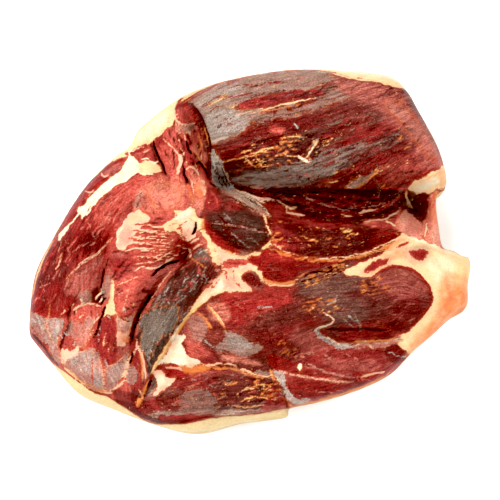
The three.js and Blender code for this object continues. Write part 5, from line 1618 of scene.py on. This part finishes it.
def join_faces(rim_order, n):
    """The mesh's faces: quads of grid and rings, and triangles where the two meet and at the bottom."""
    index = np.arange((n + 1) ** 2).reshape(n + 1, n + 1)
    quads = [np.stack([index[:-1, :-1], index[1:, :-1], index[1:, 1:], index[:-1, 1:]], -1).reshape(-1, 4)]
    rim = index[rim_order[:, 0], rim_order[:, 1]]
    around = 2 * n
    rings = [(n + 1) ** 2 + k * around + np.arange(around) for k in range(RIND_RINGS)]
    even, odd, after = rim[::2], rim[1::2], np.roll(rim[::2], -1)
    following = np.roll(rings[0], -1)
    triangles = [np.stack([even, rings[0], odd], -1), np.stack([odd, rings[0], following], -1),
                 np.stack([odd, following, after], -1)]
    for outer, inner in zip(rings[:-1], rings[1:]):
        quads.append(np.stack([outer, inner, np.roll(inner, -1), np.roll(outer, -1)], -1))
    centre = np.full(around, (n + 1) ** 2 + RIND_RINGS * around)
    triangles.append(np.stack([rings[-1], centre, np.roll(rings[-1], -1)], -1))
    return np.concatenate(quads).tolist() + np.concatenate(triangles).tolist()


def paint_mesh(mesh, face, below):
    """Gives the mesh its paint: the face's, and then the rind's on the points below."""
    rind_colours = rind_paint(below)
    ones, none = np.ones(len(below)), np.zeros(len(below))
    columns = {
        "cover": (face.cover, rind_colours),
        "marks": (np.stack([face.over, face.dark, face.tear, face.solid], -1),
                  np.stack([ones, none, RIND * ones, ones], -1)),
        "tint": (face.colour, rind_colours),
        "finish": (np.stack([face.rough, face.fibre, face.fleck, np.zeros(face.rough.shape)], -1),
                   np.stack([RIND_ROUGH * ones, none, none, ones], -1)),
    }
    for name, (above_values, below_values) in columns.items():
        values = np.concatenate([above_values.reshape(-1, above_values.shape[-1]), below_values])
        if values.shape[1] == 3:
            values = np.column_stack([values, np.ones(len(values))])
        set_colours(mesh, name, values)
    grain = np.concatenate([face.grain.reshape(-1, 3), below])
    attribute = mesh.attributes.new("grain", "FLOAT_VECTOR", "POINT")
    attribute.data.foreach_set("vector", grain.ravel().astype(np.float32))


def build_ham():
    """The ham as one closed mesh, with its paint as attributes of its points."""
    face, points = painted_face()
    rim_order = rim_of_grid(FACE_CELLS)
    rim_points = points[rim_order[:, 0], rim_order[:, 1]]
    middle = (rim_points[:, :2].min(0) + rim_points[:, :2].max(0)) / 2
    rings = underside(face, rim_order, rim_points, middle)
    everything = np.concatenate([points.reshape(-1, 3)] + rings + [np.array([[*middle, 0.0]])])
    everything[:, :2] -= middle
    mesh = bpy.data.meshes.new("cured_ham")
    mesh.from_pydata((everything * METRES).tolist(), [], join_faces(rim_order, FACE_CELLS))
    mesh.polygons.foreach_set("use_smooth", np.ones(len(mesh.polygons), bool))
    paint_mesh(mesh, face, everything[(FACE_CELLS + 1) ** 2:])
    mesh.validate()
    ham = bpy.data.objects.new("cured_ham", mesh)
    bpy.context.scene.collection.objects.link(ham)
    ham.data.materials.append(meat_material())
    return ham, middle


def rind_paint(points):
    """The colours of the side and underside: a line of fat under the rim, and then golden skin."""
    x, y, z = points.T
    share = z / FAT_LINE_TOP
    blotch = smooth(0.5 + layered(x / 24, (y + z) / 24, BLOTCH_SEED))[:, None]
    fine = smooth(0.5 + layered(x / 6, (y + z) / 6, FRECKLE_SEED))[:, None]
    skin = mix(mix(linear("skin"), linear("rind"), blotch), linear("amber"), 0.22 * fine)
    fat = smooth((share - 0.62) / 0.3 + 0.4 * layered(x / 12, y / 12, FAT_LINE_SEED))[:, None]
    return mix(skin, linear("cream"), fat)


def set_colours(mesh, name, values):
    attribute = mesh.color_attributes.new(name, "FLOAT_COLOR", "POINT")
    attribute.data.foreach_set("color", values.ravel().astype(np.float32))


class Nodes:
    """Makes and links shader nodes with few words."""

    def __init__(self, material):
        material.use_nodes = True
        self.tree = material.node_tree
        self.shader = self.tree.nodes["Principled BSDF"]

    def add(self, kind, inputs=None, **settings):
        node = self.tree.nodes.new(kind)
        for key, value in settings.items():
            setattr(node, key, value)
        for key, value in (inputs or {}).items():
            self.feed(value, node.inputs[key])
        return node

    def feed(self, value, socket):
        if isinstance(value, bpy.types.NodeSocket):
            self.tree.links.new(value, socket)
        else:
            socket.default_value = value

    def math(self, operation, *values):
        node = self.add("ShaderNodeMath", dict(enumerate(values)), operation=operation)
        return node.outputs[0]

    def noise(self, vector, scale, detail=3.0, roughness=0.5):
        inputs = {"Vector": vector, "Scale": scale, "Detail": detail, "Roughness": roughness}
        return self.add("ShaderNodeTexNoise", inputs).outputs["Fac"]

    def stretch(self, vector, scale):
        return self.add("ShaderNodeVectorMath", {0: vector, 1: scale}, operation="MULTIPLY").outputs[0]

    def steps(self, value, low, high, to_low=0.0, to_high=1.0):
        inputs = {"Value": value, "From Min": low, "From Max": high, "To Min": to_low, "To Max": to_high}
        return self.add("ShaderNodeMapRange", inputs).outputs["Result"]

    def blend(self, factor, a, b):
        return self.add("ShaderNodeMix", {0: factor, 2: a, 3: b}).outputs[0]

    def parts(self, colour):
        """The red, green and blue of a colour."""
        return self.add("ShaderNodeSeparateColor", {"Color": colour}).outputs

    def deepened(self, value, green, blue):
        """A brightness as a colour that is more saturated where it is darker."""
        inputs = {0: value, 1: self.math("POWER", value, green), 2: self.math("POWER", value, blue)}
        return self.add("ShaderNodeCombineColor", inputs).outputs[0]

    def mix_colour(self, factor, a, b, blend="MIX"):
        node = self.add("ShaderNodeMix", data_type="RGBA", blend_type=blend)
        for value, socket in ((factor, node.inputs[0]), (a, node.inputs[6]), (b, node.inputs[7])):
            self.feed(value, socket)
        return node.outputs[2]


def meat_material():
    """Cured meat: fibrous lean, what lies over it with ragged edges, some of it painted sheen, and black
    painted shade in the cracks between the muscles.
    """
    material = bpy.data.materials.new("cured_meat")
    n = Nodes(material)
    tint = n.add("ShaderNodeAttribute", attribute_name="tint").outputs["Color"]
    cover = n.add("ShaderNodeAttribute", attribute_name="cover").outputs["Color"]
    finish = n.add("ShaderNodeAttribute", attribute_name="finish")
    rough, fibre_share, fleck_share = n.parts(finish.outputs["Color"])
    rind_share = finish.outputs["Alpha"]
    marks = n.add("ShaderNodeAttribute", attribute_name="marks")
    over, dark, tear = n.parts(marks.outputs["Color"])
    solid = marks.outputs["Alpha"]
    grain = n.add("ShaderNodeAttribute", attribute_name="grain").outputs["Vector"]
    place_mm = n.stretch(n.add("ShaderNodeTexCoord").outputs["Object"], MILLIMETRES)
    fibre = n.noise(n.stretch(grain, (0.07, 0.6, 1)), 1.0, 5.0, 0.68)
    thread = n.noise(n.stretch(grain, (0.35, 1.7, 1)), 1.0, 3.0, 0.6)
    streak = n.noise(n.stretch(grain, (0.07, 0.4, 1)), 1.0, 5.0, 0.65)
    mottle = n.noise(place_mm, 0.2, 5.0, 0.65)
    pores = n.noise(place_mm, 0.8, 3.0, 0.7)
    ragged = n.noise(place_mm, 0.55, 4.0, 0.65)
    # Fibres and a fine crackle darken and lighten the lean.
    shade = n.steps(fibre, 0.32, 0.68, 0.42, 1.7)
    shade = n.math("MULTIPLY", shade, n.steps(thread, 0.3, 0.7, 0.7, 1.35))
    shade = n.blend(fibre_share, 1.0, shade)
    shade = n.math("MULTIPLY", shade, n.steps(mottle, 0.3, 0.7, 0.8, 1.22))
    shade = n.math("MULTIPLY", shade, n.steps(pores, 0.32, 0.68, 0.66, 1.38))
    colour = n.mix_colour(1.0, tint, n.deepened(shade, 1.5, 1.45), "MULTIPLY")
    # Fine pale veins of fat and a dust of pale specks in the lean.
    vein = n.noise(n.stretch(grain, (0.05, 0.22, 1)), 1.0, 5.0, 0.6)
    vein = n.steps(n.math("ABSOLUTE", n.math("SUBTRACT", vein, 0.5)), 0.0, 0.012, 1.0, 0.0)
    vein = n.math("MULTIPLY", vein, n.steps(n.noise(place_mm, 0.07, 2.0, 0.5), 0.5, 0.62))
    dust = n.steps(n.noise(place_mm, 1.5, 2.0, 0.6), 0.64, 0.7)
    dust = n.math("MULTIPLY", n.math("MAXIMUM", vein, dust), n.math("MULTIPLY", fibre_share, 0.3))
    colour = n.mix_colour(dust, colour, VEIN)
    # Flecks of pale fat and crystals, where the face has them.
    speck = n.noise(n.stretch(grain, (0.28, 0.95, 1)), 1.0, 4.0, 0.65)
    speck = n.math("ADD", speck, n.steps(n.noise(place_mm, 0.16, 2.0, 0.5), 0.35, 0.65, -0.07, 0.05))
    speck = n.math("ADD", speck, n.steps(fleck_share, 0.0, 1.0, -0.16, 0.0))
    fleck = n.steps(speck, 0.54, 0.58)
    colour = n.mix_colour(fleck, colour, n.mix_colour(n.steps(ragged, 0.4, 0.6), FLECK_DARK, FLECK_LIGHT))
    # What lies over the lean, cut off along a ragged edge, with a line round it: painted shade round fat and
    # rind, and an orange edge round flecks and sheen.
    wear = n.math("MULTIPLY", n.math("ADD", ragged, streak), 0.5)
    wear = n.math("SUBTRACT", n.blend(fibre_share, ragged, wear), 0.5)
    reach = n.math("MULTIPLY_ADD", wear, n.math("MULTIPLY", tear, 2.0), over)
    halo = n.math("MULTIPLY", n.steps(reach, 0.24, 0.48), n.steps(tear, 0.62, 0.76, 0.7, 0.0))
    colour = n.mix_colour(halo, colour, n.mix_colour(n.steps(tear, 0.4, 0.5), HALO_SHADE, FLECK_HALO))
    worn = n.math("MULTIPLY", n.steps(pores, 0.3, 0.6, 0.3, 1.0), n.steps(streak, 0.35, 0.6, 0.5, 1.0))
    worn = n.blend(n.steps(tear, 0.5, 0.8), 1.0, worn)
    covering = n.math("MULTIPLY", n.math("MULTIPLY", n.steps(reach, 0.46, 0.54), solid), worn)
    blush = n.steps(n.noise(place_mm, 0.11, 4.0, 0.6), 0.46, 0.66, 0.0, 0.5)
    blush = n.math("MAXIMUM", blush, n.steps(reach, 0.5, 0.66, 0.55, 0.0))
    blush = n.math("MULTIPLY", blush, n.steps(tear, 0.2, 0.3))
    blush = n.math("MULTIPLY", blush, n.steps(tear, 0.4, 0.5, 1.0, 0.0))
    cover = n.mix_colour(blush, cover, FAT_BLUSH)
    cover_pores, cover_mottle = n.steps(pores, 0.3, 0.7, 0.9, 1.1), n.steps(mottle, 0.3, 0.7, 0.95, 1.05)
    cover_fibres = n.blend(fibre_share, 1.0, n.steps(fibre, 0.32, 0.68, 0.75, 1.25))
    cover_shade = n.math("MULTIPLY", n.math("MULTIPLY", cover_pores, cover_mottle), cover_fibres)
    cover = n.mix_colour(1.0, cover, n.deepened(cover_shade, 1.25, 1.7), "MULTIPLY")
    colour = n.mix_colour(covering, colour, cover)
    # Black painted shade in the cracks, with dark red painted shade beside it.
    depth = n.math("MULTIPLY_ADD", n.math("SUBTRACT", ragged, 0.5), 0.6, dark)
    crack_shade = n.steps(depth, 0.44, 0.56)
    colour = n.mix_colour(n.steps(depth, 0.3, 0.46), colour, CRACK_SIDE_SHADE)
    colour = n.mix_colour(crack_shade, colour, CRACK_SHADE)
    n.feed(colour, n.shader.inputs["Base Color"])
    surface = n.math("ADD", rough, n.steps(thread, 0.3, 0.7, -0.08, 0.1))
    n.feed(surface, n.shader.inputs["Roughness"])
    n.feed(SHINE, n.shader.inputs["Specular IOR Level"])
    height = n.math("MULTIPLY_ADD", fibre, 0.8, n.math("MULTIPLY", thread, 0.4))
    height = n.math("MULTIPLY", height, fibre_share)
    height = n.math("MULTIPLY_ADD", mottle, 0.6, height)
    height = n.math("MULTIPLY_ADD", pores, 0.4, height)
    height = n.math("MULTIPLY_ADD", covering, 0.12, height)
    height = n.math("MULTIPLY_ADD", n.math("MULTIPLY", pores, 0.5), rind_share, height)
    bump = n.add("ShaderNodeBump", {"Strength": 1.0, "Distance": BUMP_DEPTH, "Height": height})
    n.feed(bump.outputs["Normal"], n.shader.inputs["Normal"])
    return material


def plain_material(name, colour, rough):
    material = bpy.data.materials.new(name)
    n = Nodes(material)
    n.feed((*colour, 1), n.shader.inputs["Base Color"])
    n.feed(rough, n.shader.inputs["Roughness"])
    return material


def add_floor():
    mesh = bpy.data.meshes.new("floor")
    corners = [(x * FLOOR_HALF, y * FLOOR_HALF, FLOOR_DROP) for x, y in ((-1, -1), (1, -1), (1, 1), (-1, 1))]
    mesh.from_pydata(corners, [], [(0, 1, 2, 3)])
    floor = bpy.data.objects.new("floor", mesh)
    bpy.context.scene.collection.objects.link(floor)
    mesh.materials.append(plain_material("floor", FLOOR_COLOUR, FLOOR_ROUGH))


def aim(thing, place_at, target, up=Vector((0, 1, 0))):
    """Puts a light or camera somewhere and turns it to look at a target."""
    back = (place_at - target).normalized()
    right = up.cross(back).normalized()
    turn = Matrix((right, back.cross(right), back)).transposed().to_4x4()
    thing.matrix_world = Matrix.Translation(place_at) @ turn


def add_light(name, place_at, size, power, target):
    light = bpy.data.lights.new(name, "AREA")
    light.shape = "RECTANGLE"
    light.size, light.size_y = size
    light.energy = power
    thing = bpy.data.objects.new(name, light)
    bpy.context.scene.collection.objects.link(thing)
    aim(thing, Vector(place_at), target)


def add_lights(target):
    for name, (place_at, size, power) in LIGHTS.items():
        add_light(name, place_at, size, power, target)
    world = bpy.data.worlds.new("studio")
    world.use_nodes = True
    background = world.node_tree.nodes["Background"]
    background.inputs["Color"].default_value = SKY
    background.inputs["Strength"].default_value = SKY_STRENGTH
    bpy.context.scene.world = world


def add_camera(middle):
    """The camera looks square at the drawing, from far away, so that the drawing fills its view."""
    centre = (place(SQUARES / 2, SQUARES / 2, FACE_LEVEL) - np.array([*middle, 0])) * METRES
    distance = SQUARES * SQUARE * METRES * LENS / SENSOR
    camera = bpy.data.cameras.new("camera")
    camera.lens, camera.sensor_width = LENS, SENSOR
    camera.clip_start, camera.clip_end = NEAREST, FARTHEST
    thing = bpy.data.objects.new("camera", camera)
    bpy.context.scene.collection.objects.link(thing)
    normal = Vector((0, -math.sin(FACE_TILT), math.cos(FACE_TILT)))
    aim(thing, Vector(centre) + normal * distance, Vector(centre))
    bpy.context.scene.camera = thing
    return Vector(centre)


def main():
    ham, middle = build_ham()
    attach(ham, "root")
    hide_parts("ham")
    target = add_camera(middle)
    add_lights(target)
    add_floor()
    view = bpy.context.scene.view_settings
    view.view_transform = "Standard"
    view.look = "None"
    view.exposure = EXPOSURE
    view.use_curve_mapping = True
    view.curve_mapping.black_level = (BLACK_POINT,) * 3


main()
